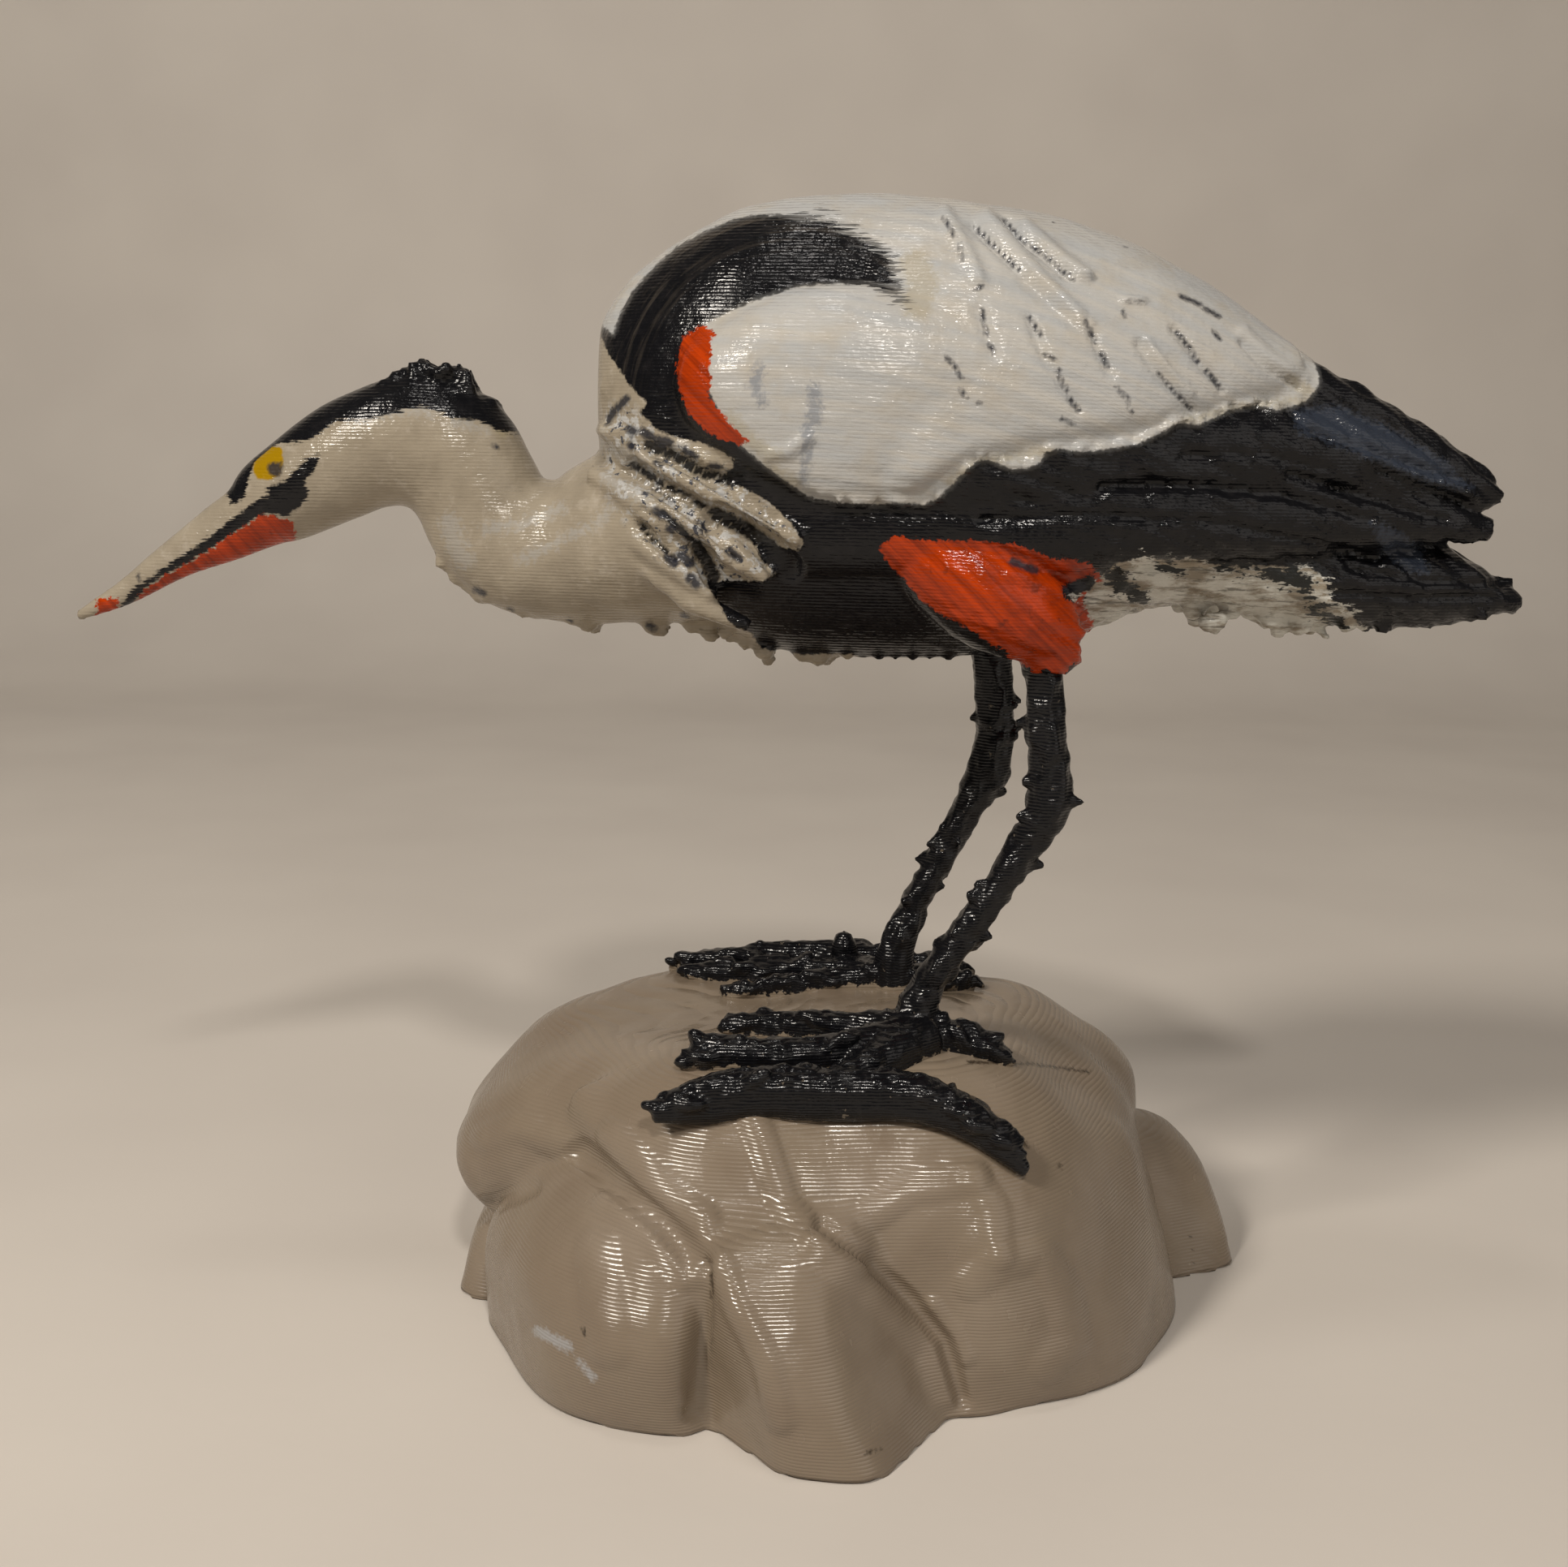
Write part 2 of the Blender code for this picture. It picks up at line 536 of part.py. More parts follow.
def make_foot(table, side, spread, stout):
    """Toes that lie on the boulder, from the ankle outwards."""
    foot = ankle(table, side)
    ledge = foot[2] - ANKLE_LIFT * LEG_DIAMETER
    made = []
    for name, rows in TOES:
        points, radii = [], []
        for x, out, thickness, lift, drop in smooth_rows(rows, 4):
            px = foot[0] + (x - TABLE_ANKLE_X) * FOOT
            py = foot[1] + side * out * spread * FOOT
            ground = max(rock_top(px, py), ledge - drop * FOOT)
            points.append((px, py, ground + lift * stout ** 2 * TOE_DIAMETER))
            radii.append(max(TOE_DIAMETER / 2 * thickness * stout, THINNEST_CLAW))
        made.append(tube(name + "_toe", points, radii))
    return made


def make_legs_and_feet():
    made = []
    for table, side, spread, stout in ((LEFT_LEG, -1, 1.0, 1.0),
                                       (RIGHT_LEG, 1, RIGHT_SPREAD, RIGHT_TOES)):
        made.append(make_leg(table, side))
        made.extend(make_foot(table, side, spread, stout))
    return made


def apply_modifier(obj, kind, **settings):
    modifier = obj.modifiers.new(kind.lower(), kind)
    for key, value in settings.items():
        setattr(modifier, key, value)
    graph = bpy.context.evaluated_depsgraph_get()
    mesh = bpy.data.meshes.new_from_object(obj.evaluated_get(graph))
    obj.modifiers.clear()
    obj.data = mesh


def joined(name, objects):
    """One object that holds the meshes of all these, which are removed."""
    work = bmesh.new()
    for obj in objects:
        work.from_mesh(obj.data)
        bpy.data.objects.remove(obj)
    mesh = bpy.data.meshes.new(name)
    work.to_mesh(mesh)
    work.free()
    obj = bpy.data.objects.new(name, mesh)
    bpy.context.scene.collection.objects.link(obj)
    return obj


def keep_largest(work):
    """Removes every loose piece but the one with the most faces."""
    work.verts.ensure_lookup_table()
    seen, groups = set(), []
    for start in work.verts:
        if start in seen:
            continue
        group, queue = set(), [start]
        seen.add(start)
        while queue:
            vertex = queue.pop()
            group.add(vertex)
            for edge in vertex.link_edges:
                other = edge.other_vert(vertex)
                if other not in seen:
                    seen.add(other)
                    queue.append(other)
        groups.append(group)
    groups.sort(key=len)
    for group in groups[:-1]:
        bmesh.ops.delete(work, geom=list(group), context="VERTS")


def flatten_underside(work):
    """Cuts the boulder off at z = 0 and fills the cut with a flat face."""
    cut = bmesh.ops.bisect_plane(work, geom=work.verts[:] + work.edges[:] + work.faces[:],
                                 plane_co=(0, 0, 0), plane_no=(0, 0, 1), clear_inner=True)
    edges = [e for e in cut["geom_cut"] if isinstance(e, bmesh.types.BMEdge)]
    bmesh.ops.contextual_create(work, geom=edges)
    bmesh.ops.triangulate(work, faces=work.faces)
    bmesh.ops.recalc_face_normals(work, faces=work.faces)


def painted_plastic():
    material = bpy.data.materials.new("painted_print")
    material.use_nodes = True
    shader = material.node_tree.nodes["Principled BSDF"]
    shader.inputs["Base Color"].default_value = (0.24, 0.20, 0.15, 1.0)
    shader.inputs["Roughness"].default_value = 0.35
    shader.inputs["Metallic"].default_value = 0.0
    return material


def main():
    clear_scene()
    shapes = (make_trunk() + make_neck() + make_wings() + make_feathers() + make_thighs()
              + make_plumes() + make_crest() + make_rock() + make_legs_and_feet())
    heron = joined("heron_on_boulder", shapes)
    apply_modifier(heron, "REMESH", mode="VOXEL", voxel_size=LAYER, adaptivity=0.0)
    apply_modifier(heron, "SMOOTH", factor=0.5, iterations=2)
    triangles = 2 * len(heron.data.polygons)
    apply_modifier(heron, "DECIMATE", decimate_type="COLLAPSE", ratio=FACETS / triangles)
    work = bmesh.new()
    work.from_mesh(heron.data)
    keep_largest(work)
    flatten_underside(work)
    work.to_mesh(heron.data)
    work.free()
    heron.data.materials.append(painted_plastic())
    heron.data.shade_smooth()
    collection = bpy.data.collections.new("heron_sculpture")
    bpy.context.scene.collection.children.link(collection)
    bpy.context.scene.collection.objects.unlink(heron)
    collection.objects.link(heron)


main()
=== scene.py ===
"""The looks of the heron figurine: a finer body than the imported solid's, hand-painted.

The form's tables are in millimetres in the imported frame: -X to the bill, -Y to the bird's
left side, +Z up. The paint's borders are in pixels of the photograph, which is 1932 by 1931:
each point of the surface is looked up where the photograph's camera saw it, and the bird's
right side takes the mirror image of its left.
"""
import math

import bmesh
import bpy
import numpy as np
from mathutils import Euler, Matrix, Vector


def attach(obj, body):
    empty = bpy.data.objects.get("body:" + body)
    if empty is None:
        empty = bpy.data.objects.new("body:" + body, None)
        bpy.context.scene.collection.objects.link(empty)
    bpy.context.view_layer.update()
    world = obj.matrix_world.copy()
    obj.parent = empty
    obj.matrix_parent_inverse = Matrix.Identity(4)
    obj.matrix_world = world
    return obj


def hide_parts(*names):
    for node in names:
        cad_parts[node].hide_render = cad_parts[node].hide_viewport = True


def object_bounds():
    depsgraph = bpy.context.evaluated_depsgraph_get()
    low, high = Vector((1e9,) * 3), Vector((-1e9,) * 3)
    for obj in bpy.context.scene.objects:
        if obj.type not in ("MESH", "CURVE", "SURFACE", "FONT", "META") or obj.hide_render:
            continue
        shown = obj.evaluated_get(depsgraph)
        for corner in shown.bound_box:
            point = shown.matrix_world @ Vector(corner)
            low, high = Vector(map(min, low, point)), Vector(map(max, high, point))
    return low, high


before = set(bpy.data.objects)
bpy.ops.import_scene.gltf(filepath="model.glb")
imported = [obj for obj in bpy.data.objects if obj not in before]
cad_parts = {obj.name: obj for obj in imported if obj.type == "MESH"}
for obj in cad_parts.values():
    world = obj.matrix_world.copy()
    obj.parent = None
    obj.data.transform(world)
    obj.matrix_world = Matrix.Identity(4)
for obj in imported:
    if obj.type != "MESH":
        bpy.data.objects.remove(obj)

CAD_BOX = [list(corner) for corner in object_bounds()]
NODE = "heron_on_boulder"
MM = 0.001

# Camera, fitted to the photograph
IMAGE = np.array((1932.0, 1931.0))
FOCAL = 2165.0            # in pixels
EYE = np.array((-8.0, -182.0, 92.8))
PITCH = math.radians(11.15)
ROLL = math.radians(1.0)
SENSOR = 36.0

# Grain of the meshes
BODY_VOXEL = 0.44
LEG_VOXEL = 0.26
ROCK_TURNS = 520
ROCK_RINGS = 170
ROCK_FALL = math.radians(108)   # from straight up to the lowest ring
ROWS_BETWEEN = 6          # sections added between two rows of a table
LAYER_HEIGHT = 0.34       # of the print's layers
FLATTEST = 0.22           # steepness below which the layer lines grow no wider

# Trunk: x, top, widest height, bottom, half width
TRUNK = (
    (-27.3, 101.5, 97.0, 92.5, 2.0),
    (-26.7, 104.4, 96.0, 88.0, 6.0),
    (-24.4, 107.6, 95.0, 83.0, 9.6),
    (-21.1, 110.5, 94.0, 78.0, 12.4),
    (-17.1, 113.1, 93.5, 75.2, 14.2),
    (-13.1, 114.9, 93.0, 72.6, 15.4),
    (-7.0, 116.2, 92.0, 71.0, 16.2),
    (0.0, 116.6, 91.0, 70.6, 16.4),
    (10.0, 115.9, 90.5, 70.9, 15.6),
    (20.0, 114.0, 91.0, 72.8, 14.0),
    (30.0, 110.0, 91.0, 76.2, 11.8),
    (38.7, 104.7, 90.0, 77.0, 9.4),
    (48.0, 99.2, 88.0, 77.0, 6.8),
    (55.0, 94.6, 86.0, 78.0, 4.6),
    (59.0, 91.0, 85.0, 80.0, 2.6),
)
# Bill, head and neck: x and z of the middle line, half thickness in the side view, half width
NECK = (
    (-81.6, 73.3, 0.5, 0.5),
    (-76.3, 76.0, 1.35, 1.2),
    (-70.9, 79.5, 2.1, 1.8),
    (-66.1, 82.1, 3.0, 2.4),
    (-63.2, 83.7, 3.5, 3.0),
    (-60.9, 85.3, 4.5, 4.0),
    (-57.8, 87.1, 5.1, 4.8),
    (-54.2, 89.2, 5.7, 5.3),
    (-50.8, 90.8, 6.0, 5.6),
    (-46.8, 91.6, 6.6, 5.8),
    (-42.6, 90.6, 6.9, 5.8),
    (-40.2, 87.3, 6.6, 5.7),
    (-38.4, 83.9, 6.8, 5.9),
    (-35.4, 81.6, 7.1, 6.4),
    (-31.2, 80.9, 7.3, 7.4),
    (-26.3, 82.0, 8.6, 9.6),
    (-19.0, 84.0, 10.4, 12.6),
    (-9.0, 86.0, 12.0, 14.0),
)
# Front of the folded wing, one side: x, top, bottom, how far out
WING = (
    (-19.0, 98.6, 96.4, 13.6),
    (-17.6, 101.6, 93.8, 15.8),
    (-13.6, 104.6, 90.6, 17.6),
    (-8.0, 106.6, 88.0, 18.7),
    (-1.0, 107.4, 86.8, 19.0),
    (6.0, 107.0, 87.8, 18.4),
    (14.0, 105.0, 91.6, 16.6),
    (22.0, 101.0, 95.0, 12.0),
)
WING_THICKNESS = 15.0
LOWER_FULLNESS = 0.25     # below 1, so that the wing keeps its width down to its lower edge
# Mantle, the rest of both wings and the back: x, top, widest height, lower edge, half width
MANTLE = (
    (-8.0, 112.0, 93.0, 90.0, 12.0),
    (-2.0, 115.2, 91.0, 87.2, 17.0),
    (3.0, 116.2, 90.2, 86.8, 18.8),
    (8.0, 116.0, 92.6, 89.4, 18.6),
    (14.0, 115.2, 94.0, 91.0, 17.8),
    (24.0, 112.9, 96.0, 92.9, 15.8),
    (32.0, 109.0, 98.0, 95.1, 13.2),
    (38.0, 105.2, 99.2, 96.9, 10.6),
    (41.0, 103.0, 100.4, 98.6, 9.0),
)
# Flight feathers below the wing, one side: points x, out, z, and half height and half width
FLIGHT_FEATHERS = (
    ((18.0, 11.5, 96.0, 4.6, 3.0), (38.0, 6.8, 97.2, 4.6, 3.0), (52.0, 5.2, 93.0, 3.2, 2.6),
     (59.0, 4.4, 90.4, 1.8, 1.8), (62.4, 4.0, 89.3, 0.8, 0.9)),
    ((-2.0, 10.0, 89.0, 4.0, 2.4), (8.0, 14.0, 90.0, 5.0, 3.4), (30.0, 10.6, 92.0, 5.0, 3.4),
     (48.0, 7.0, 91.2, 4.0, 2.8),
     (59.0, 5.0, 89.0, 2.2, 1.8), (63.0, 4.2, 88.0, 0.8, 0.9)),
    ((-16.0, 9.6, 84.0, 3.6, 2.2), (-6.0, 12.6, 84.4, 4.8, 3.0), (18.0, 12.6, 86.0, 5.2, 3.4),
     (40.0, 8.8, 86.4, 4.2, 3.0),
     (56.0, 5.8, 85.6, 2.2, 2.0), (62.0, 4.8, 84.9, 0.9, 1.0)),
)
# Tail: x, top, bottom, half width
TAIL = (
    (20.0, 86.0, 76.0, 10.0),
    (32.0, 86.0, 77.0, 9.4),
    (44.0, 85.4, 75.2, 8.2),
    (54.0, 84.2, 74.4, 6.8),
    (60.0, 82.8, 75.0, 5.4),
    (65.0, 79.6, 76.0, 3.8),
    (67.2, 78.0, 76.6, 2.4),
)
# Tibial feathers, one side: x, out, z, radius
THIGH = (
    (1.6, 12.2, 82.6, 1.6),
    (5.6, 12.2, 81.2, 4.0),
    (10.6, 11.4, 79.0, 5.5),
    (15.0, 10.6, 76.4, 5.1),
    (17.6, 10.1, 73.4, 3.6),
    (17.6, 9.9, 70.6, 2.4),
)
# Legs from hip to ankle: x, share of the height, and thickness as a share of LEG_DIAMETER
LEFT_LEG = (
    (17.4, 1.00, 0.95), (17.9, 0.83, 1.02), (18.5, 0.71, 1.12), (18.4, 0.61, 1.22),
    (16.8, 0.51, 0.96), (14.4, 0.40, 0.88), (12.2, 0.30, 0.86), (9.8, 0.20, 0.84),
    (7.5, 0.10, 0.86), (5.9, 0.00, 1.16),
)
RIGHT_LEG = (
    (14.4, 1.00, 1.22), (15.1, 0.84, 1.20), (15.2, 0.70, 1.18), (14.5, 0.60, 1.22),
    (12.4, 0.48, 0.94), (10.3, 0.36, 0.86), (8.1, 0.24, 0.86), (6.0, 0.12, 0.88),
    (4.8, 0.00, 1.20),
)
LEG_DIAMETER = 4.1
TOE_DIAMETER = 3.6
THINNEST_CLAW = 0.3
SKIRT = 0.50              # how far each toe's flank runs down, in radii
BEADS_ON_LEG = 34
SPURS_ON_LEG = 14
STANCE = 19.0
LEG_SPLAY = 0.05
LEG_SLIMNESS = 0.88       # the surface's roughness adds the rest
TOE_SLIMNESS = 0.80
HIP_HEIGHT = 71.0
ANKLE_LIFT = 0.8          # in leg diameters
ROOT = 0.4
ANKLE_X = 5.9
RIGHT_SPREAD = 0.62
RIGHT_TOES = 0.80
FAR_LUMP = (1040, 1168)   # a pixel beside the far foot
GRID_REACH = 30.0         # of the heights looked up around the feet
GRID_STEP = 0.5
# Toes of one foot: x, how far out, thickness, lift above the rock, how far below the ledge
TOES = (
    ((-20.0, 14.2, 0.40, 0.10, 3.0), (-16.0, 12.6, 1.20, 0.45, 3.0), (-10.0, 11.6, 1.40, 0.62, 3.0),
     (-2.0, 11.4, 1.45, 0.68, 3.0), (5.0, 11.4, 1.32, 0.60, 3.0), (10.0, 12.2, 1.15, 0.40, 4.0),
     (13.6, 13.0, 0.85, 0.20, 6.0), (16.0, 13.4, 0.40, 0.00, 8.0)),
    ((-17.6, 6.2, 0.60, 0.10, 3.0), (-14.6, 6.0, 1.15, 0.35, 3.0), (-8.0, 6.0, 1.10, 0.42, 3.0),
     (-1.0, 4.4, 1.15, 0.45, 3.0), (6.0, 1.2, 1.30, 0.50, 3.0)),
    ((-13.4, -2.4, 0.45, 0.05, 3.0), (-11.6, -2.8, 0.80, 0.30, 3.0), (-6.0, -1.6, 0.95, 0.35, 3.0),
     (-1.0, -0.4, 1.05, 0.40, 3.0), (5.6, 0.6, 1.30, 0.50, 3.0)),
    ((-4.0, 10.4, 1.00, 0.20, 3.0), (2.0, 6.0, 1.40, 0.30, 3.0), (7.0, 1.4, 1.50, 0.45, 3.0)),
    ((6.0, 0.6, 1.30, 0.50, 3.0), (10.2, 0.8, 1.15, 0.38, 3.0), (13.6, 1.4, 1.00, 0.25, 3.0),
     (15.0, 2.4, 0.50, 0.05, 3.0)),
)
# Plumes that hang over the breast, one side: points of x, out, z and radius
PLUMES = (
    ((-26.0, 6.0, 97.2, 0.8), (-21.0, 10.6, 94.8, 1.3), (-14.6, 14.2, 91.4, 0.8)),
    ((-26.2, 6.8, 93.2, 1.0), (-20.0, 11.4, 90.2, 1.6), (-13.0, 14.4, 86.6, 1.4),
     (-6.8, 15.6, 83.2, 0.7)),
    ((-27.4, 6.4, 89.0, 0.9), (-20.6, 11.4, 85.6, 1.6), (-13.6, 13.8, 82.0, 1.3),
     (-9.8, 14.4, 79.4, 0.7)),
    ((-26.0, 7.6, 84.6, 0.9), (-20.0, 11.0, 81.2, 1.5), (-15.0, 12.4, 77.6, 0.8)),
    ((-22.4, 9.6, 80.6, 0.8), (-17.0, 11.4, 77.0, 1.2), (-11.6, 12.0, 74.8, 0.7)),
)
# Boulder: chunks that overlap. Each has a name, the radius that rounds its edges, and its
# facets: the turn and the tilt in degrees of the direction that a facet faces, and the x, y
# and z of a point on it.
CHUNKS = (
    ("main", 1.3, (
        (0, 90, 0, 0, 31.8), (180, 78, -26, 4, 30.9), (-78, 47, 0, -22, 28.6),
        (-116, 38, -15.2, -22.6, 27.8), (-90, 5, 0, -27, 10), (-150, 10, -34, -8, 10),
        (-150, 58, -24, -16, 28.2), (180, 8, -38, 0, 15), (-12, 52, 29.0, -3, 23.0),
        (-46, 44, 21, -18.2, 25.0), (-48, 8, 23, -19, 2), (-5, 8, 33.5, 0, 8),
        (80, 56, 10, 26, 28.2), (92, 8, 0, 34, 10), (135, 30, -26, 24, 20),
        (50, 32, 24, 24, 20.5))),
    ("upper left", 1.2, (
        (180, 71, -33, 6, 28.0), (178, 42, -40.2, 2, 22.7), (180, 2, -44.7, 0, 17.5),
        (178, -52, -40.6, 0, 11.6), (-118, 46, -32, -12, 24.6), (-112, -20, -36, -9, 14),
        (100, 52, -32, 16, 27), (110, 0, -30, 20, 14), (-140, 15, -40.5, -8, 17),
        (0, 0, -12, 0, 15), (0, 90, 0, 0, 31))),
    ("lower left", 1.2, (
        (180, 6, -41.8, 5, 5), (180, 50, -40, 5, 10.6), (-110, 15, -38, -4, 5),
        (90, 10, -30, 20, 5), (0, 0, -10, 0, 5), (0, 90, -20, 0, 14))),
    ("front left", 1.4, (
        (-122, 72, -25, -24, 20.2), (-118, 46, -26, -27.5, 17.6), (-112, 24, -24, -31.8, 14.4),
        (-110, 0, -23, -33.4, 9), (-112, -22, -22.4, -30.4, 0.6), (-160, -3, -36.3, -17, 8),
        (-165, 40, -34, -17, 15.5), (-140, -12, -31, -25.5, 2), (-32, 4, -15.0, -31, 10),
        (-60, 34, -17.5, -31, 16.0), (90, 0, 0, -8, 5))),
    ("prow", 0.8, (
        (-140, -2, -10.8, -34.8, 8), (-90, 4, -4, -38.3, 3), (-86, 26, -6, -37.4, 10),
        (-38, 21, 8.6, -28.6, 0), (-95, 60, -6, -33.6, 17.2), (90, 0, 0, -12, 5))),
    ("right", 1.6, (
        (-72, 54, 18, -21.5, 25.6), (-84, 30, 14, -28.0, 18.2), (-80, 4, 17.5, -29, 11.5),
        (-78, -20, 19.3, -25.6, 1.2), (-48, 10, 25, -21.2, 4), (-28, 10, 33.6, -10, 4),
        (-8, 14, 34.6, -6, 6.5), (-30, 44, 30.5, -8.6, 18.8), (-128, 4, 9.4, -28, 8),
        (90, 0, 0, 6, 5), (180, 0, -2, 0, 5), (0, 90, 0, 0, 27))),
    ("low right", 1.4, (
        (8, 42, 40, 14, 12.6), (2, 8, 44.6, 13, 3), (-68, 18, 40, 4.5, 4),
        (85, 22, 36, 24, 4), (-50, 48, 37, 6, 12), (180, 0, 20, 0, 5), (0, 90, 30, 0, 15))),
    ("back left", 2.0, (
        (92, 12, -14, 33.8, 8), (128, 18, -27, 29, 8), (60, 10, -2, 33, 8),
        (95, 48, -14, 30.5, 21), (180, 20, -33, 20, 8), (-90, 0, 0, 0, 5), (0, 90, 0, 0, 28),
        (0, 0, 5, 0, 5))),
    ("back right", 1.6, (
        (85, 10, 12, 34.8, 8), (40, 14, 25, 28, 8), (135, 10, -1, 33.6, 8),
        (85, 46, 12, 31, 20), (15, 40, 29.5, 16, 21), (0, 12, 32.5, 14, 12),
        (-60, 10, 28, 8, 15), (-90, 0, 0, 0, 5), (0, 90, 0, 0, 27.5), (180, 0, -5, 0, 5))),
)
CREASE = 0.3              # radius that rounds the creases between the chunks
# Waves that make the facets less regular: along x, y and z in radians for each unit of the
# table, a phase, and a height
WAVES = (
    (0.19, 0.07, 0.11, 0.4, 0.30),
    (-0.09, 0.21, 0.13, 2.1, 0.30),
    (0.13, -0.16, 0.23, 4.0, 0.22),
    (0.31, 0.27, -0.19, 1.2, 0.12),
)
ROCK_SEED = np.array((-1.0, 0.0, 6.0))
ROCK_REACH = 70.0
HALVINGS = 12             # of a ray, to find the boulder's surface
PIXELS_PER_MM = 12.2      # at the bird's middle

# Where each change of the surface starts and how far it takes, in pixels of the photograph
FEATHER_BEND = 900
FEATHER_RUN = 1200
FEATHER_SLOPE = 0.55
REAR_FADE = (1130, 120)
BREAST_TOP = (640, 80)
BREAST_FRONT = (560, 80)
BREAST_BACK = 960
EDGE_REACH = 9.0
TOOTH_REACH = 8.0
VALLEY_DEPTH = 1.0        # in mm
EYE_INSIDE = 2.2          # mm out from the middle, where the eye's paint starts
MARK_SPREAD = 0.4
HIDDEN = 50.0             # taken off what the camera doesn't see

# Paint borders, in pixels of the photograph
WHITE_WING = (
    (866, 400), (892, 388), (925, 372), (950, 364), (983, 354), (1033, 349), (1075, 355),
    (1100, 366), (1114, 376), (1118, 372), (1110, 353), (1106, 337), (1106, 316), (1088, 303),
    (1068, 293), (1046, 280), (1029, 270), (1010, 264), (985, 262), (960, 264), (930, 264),
    (898, 272), (866, 286), (833, 304), (806, 328), (780, 357), (764, 386), (755, 412),
    (740, 400), (770, 300), (900, 180), (1200, 180), (1500, 300), (1612, 428), (1624, 462),
    (1625, 474), (1613, 491), (1595, 500), (1576, 505), (1549, 499), (1517, 504), (1495, 515),
    (1476, 523), (1449, 521), (1431, 533), (1404, 546), (1367, 553), (1331, 557), (1308, 552),
    (1290, 556), (1278, 573), (1249, 579), (1226, 569), (1208, 566), (1195, 575), (1176, 594),
    (1158, 612), (1140, 622), (1117, 619), (1075, 621), (1033, 619), (1000, 613), (983, 603),
    (954, 582), (933, 566), (914, 549), (890, 520), (874, 480),
)
BLACK_BODY = (
    (748, 434), (762, 453), (775, 474), (797, 496), (788, 508), (812, 531), (838, 540),
    (866, 546), (888, 556), (903, 566), (903, 579), (880, 584), (905, 596), (930, 608),
    (955, 625), (975, 645), (990, 668), (985, 679), (955, 672), (925, 664), (938, 690),
    (955, 706), (940, 716), (900, 715), (868, 716), (886, 744), (900, 770), (925, 780),
    (938, 799), (980, 806), (1050, 806), (1120, 840), (1240, 880), (1380, 860), (1340, 732),
    (1358, 710),
    (1376, 694), (1413, 689), (1458, 691), (1495, 696), (1531, 696), (1576, 698), (1617, 700),
    (1631, 716), (1640, 740), (1663, 753), (1676, 775), (1720, 810), (1900, 790), (1900, 680),
    (1880, 560), (1700, 440), (1620, 400), (1200, 180), (900, 180), (760, 300), (735, 400),
)
CAP = (
    (284, 622), (280, 596), (296, 560), (330, 500), (420, 430), (520, 400), (650, 430),
    (640, 534), (613, 530), (588, 518), (559, 516), (538, 508), (520, 501), (497, 505),
    (467, 514), (442, 518), (413, 519), (401, 529), (386, 540), (367, 545), (347, 546),
    (334, 550), (324, 556), (318, 566), (312, 576), (307, 590), (301, 612), (292, 619),
)
FACE_LINE = (
    (394, 560), (389, 577), (376, 590), (380, 612), (366, 626), (350, 637), (338, 634),
    (326, 634), (312, 642), (290, 656), (262, 676), (232, 694), (205, 708), (178, 727),
    (166, 742), (156, 753), (144, 753), (152, 741), (168, 722), (190, 707), (216, 690),
    (243, 672), (265, 656), (285, 640), (305, 624), (320, 614), (330, 612), (327, 600),
    (338, 597), (352, 593), (362, 582), (370, 571), (380, 564), (386, 561),
)
ORANGE_BILL = (
    (357, 641), (363, 649), (365, 667), (372, 690), (300, 720), (200, 770), (150, 760),
    (156, 752), (166, 741), (178, 727), (205, 708), (232, 693), (262, 675), (290, 655),
    (312, 641), (326, 633), (342, 638),
)
ORANGE_TIP = ((118, 738), (147, 738), (146, 754), (128, 764), (108, 766), (120, 752))
ORANGE_WING = (
    (867, 400), (872, 404), (883, 413), (875, 419), (877, 440), (873, 455), (876, 468),
    (871, 485), (882, 500), (895, 518), (907, 530), (922, 543), (913, 548), (887, 541),
    (867, 530), (850, 512), (842, 495), (835, 474), (834, 453), (837, 428), (846, 412),
)
ORANGE_THIGH = (
    (1082, 676), (1104, 660), (1142, 666), (1200, 666), (1249, 671), (1272, 678), (1299, 689),
    (1322, 690), (1345, 696), (1358, 716), (1340, 728), (1332, 740), (1346, 766), (1346, 800),
    (1338, 822), (1322, 818), (1308, 836), (1288, 822), (1278, 836), (1263, 818), (1249, 836),
    (1240, 800), (1226, 797), (1204, 782),
    (1185, 769), (1158, 756), (1133, 737), (1112, 712), (1096, 695),
)
THIGH_HOLE = (
    (1308, 722), (1325, 715), (1345, 707), (1351, 722), (1336, 730), (1325, 742), (1312, 738),
)
UNDER_TAIL = (
    (1336, 730), (1358, 710), (1376, 694), (1413, 689), (1458, 691), (1495, 696), (1531, 696),
    (1576, 698), (1617, 700), (1631, 716), (1640, 740), (1663, 753), (1676, 771), (1690, 800),
    (1600, 820), (1380, 820), (1328, 800), (1324, 740),
)
YELLOW_EYE = (
    (315, 564), (330, 550), (347, 551), (349, 570), (345, 585), (332, 592), (317, 590), (311, 578),
)
# Painted reflection: a blue-grey sheen on the glossy black of the flight feathers and the tail
SHEEN = (
    (1592, 506), (1650, 500), (1716, 530), (1780, 568), (1814, 602), (1770, 598), (1700, 571),
    (1640, 544), (1600, 532),
)
TAIL_SHEEN = ((1690, 645), (1720, 655), (1750, 675), (1760, 706), (1735, 702), (1705, 680))
HUMP_CENTRE = (985.0, 500.0)
# Borders of the hump's worn rings: from nothing to all
HUMP_EDGE = (262.0, 250.0)
HUMP_FOOT = (560.0, 520.0)
HUMP_WORN = (185.0, 235.0)
DRY_EDGE = ((1008, 258), (1060, 280), (1100, 310), (1112, 345), (1112, 380))
DRY_REACH = 34.0
SCAR_BLACKS = (
    (24, (1372, 706), (1380, 722), (1402, 732)), (26, (1556, 700), (1584, 708), (1608, 722)),
    (14, (1500, 694), (1530, 700)), (16, (1618, 748), (1650, 766)), (12, (1430, 694), (1452, 702)),
)
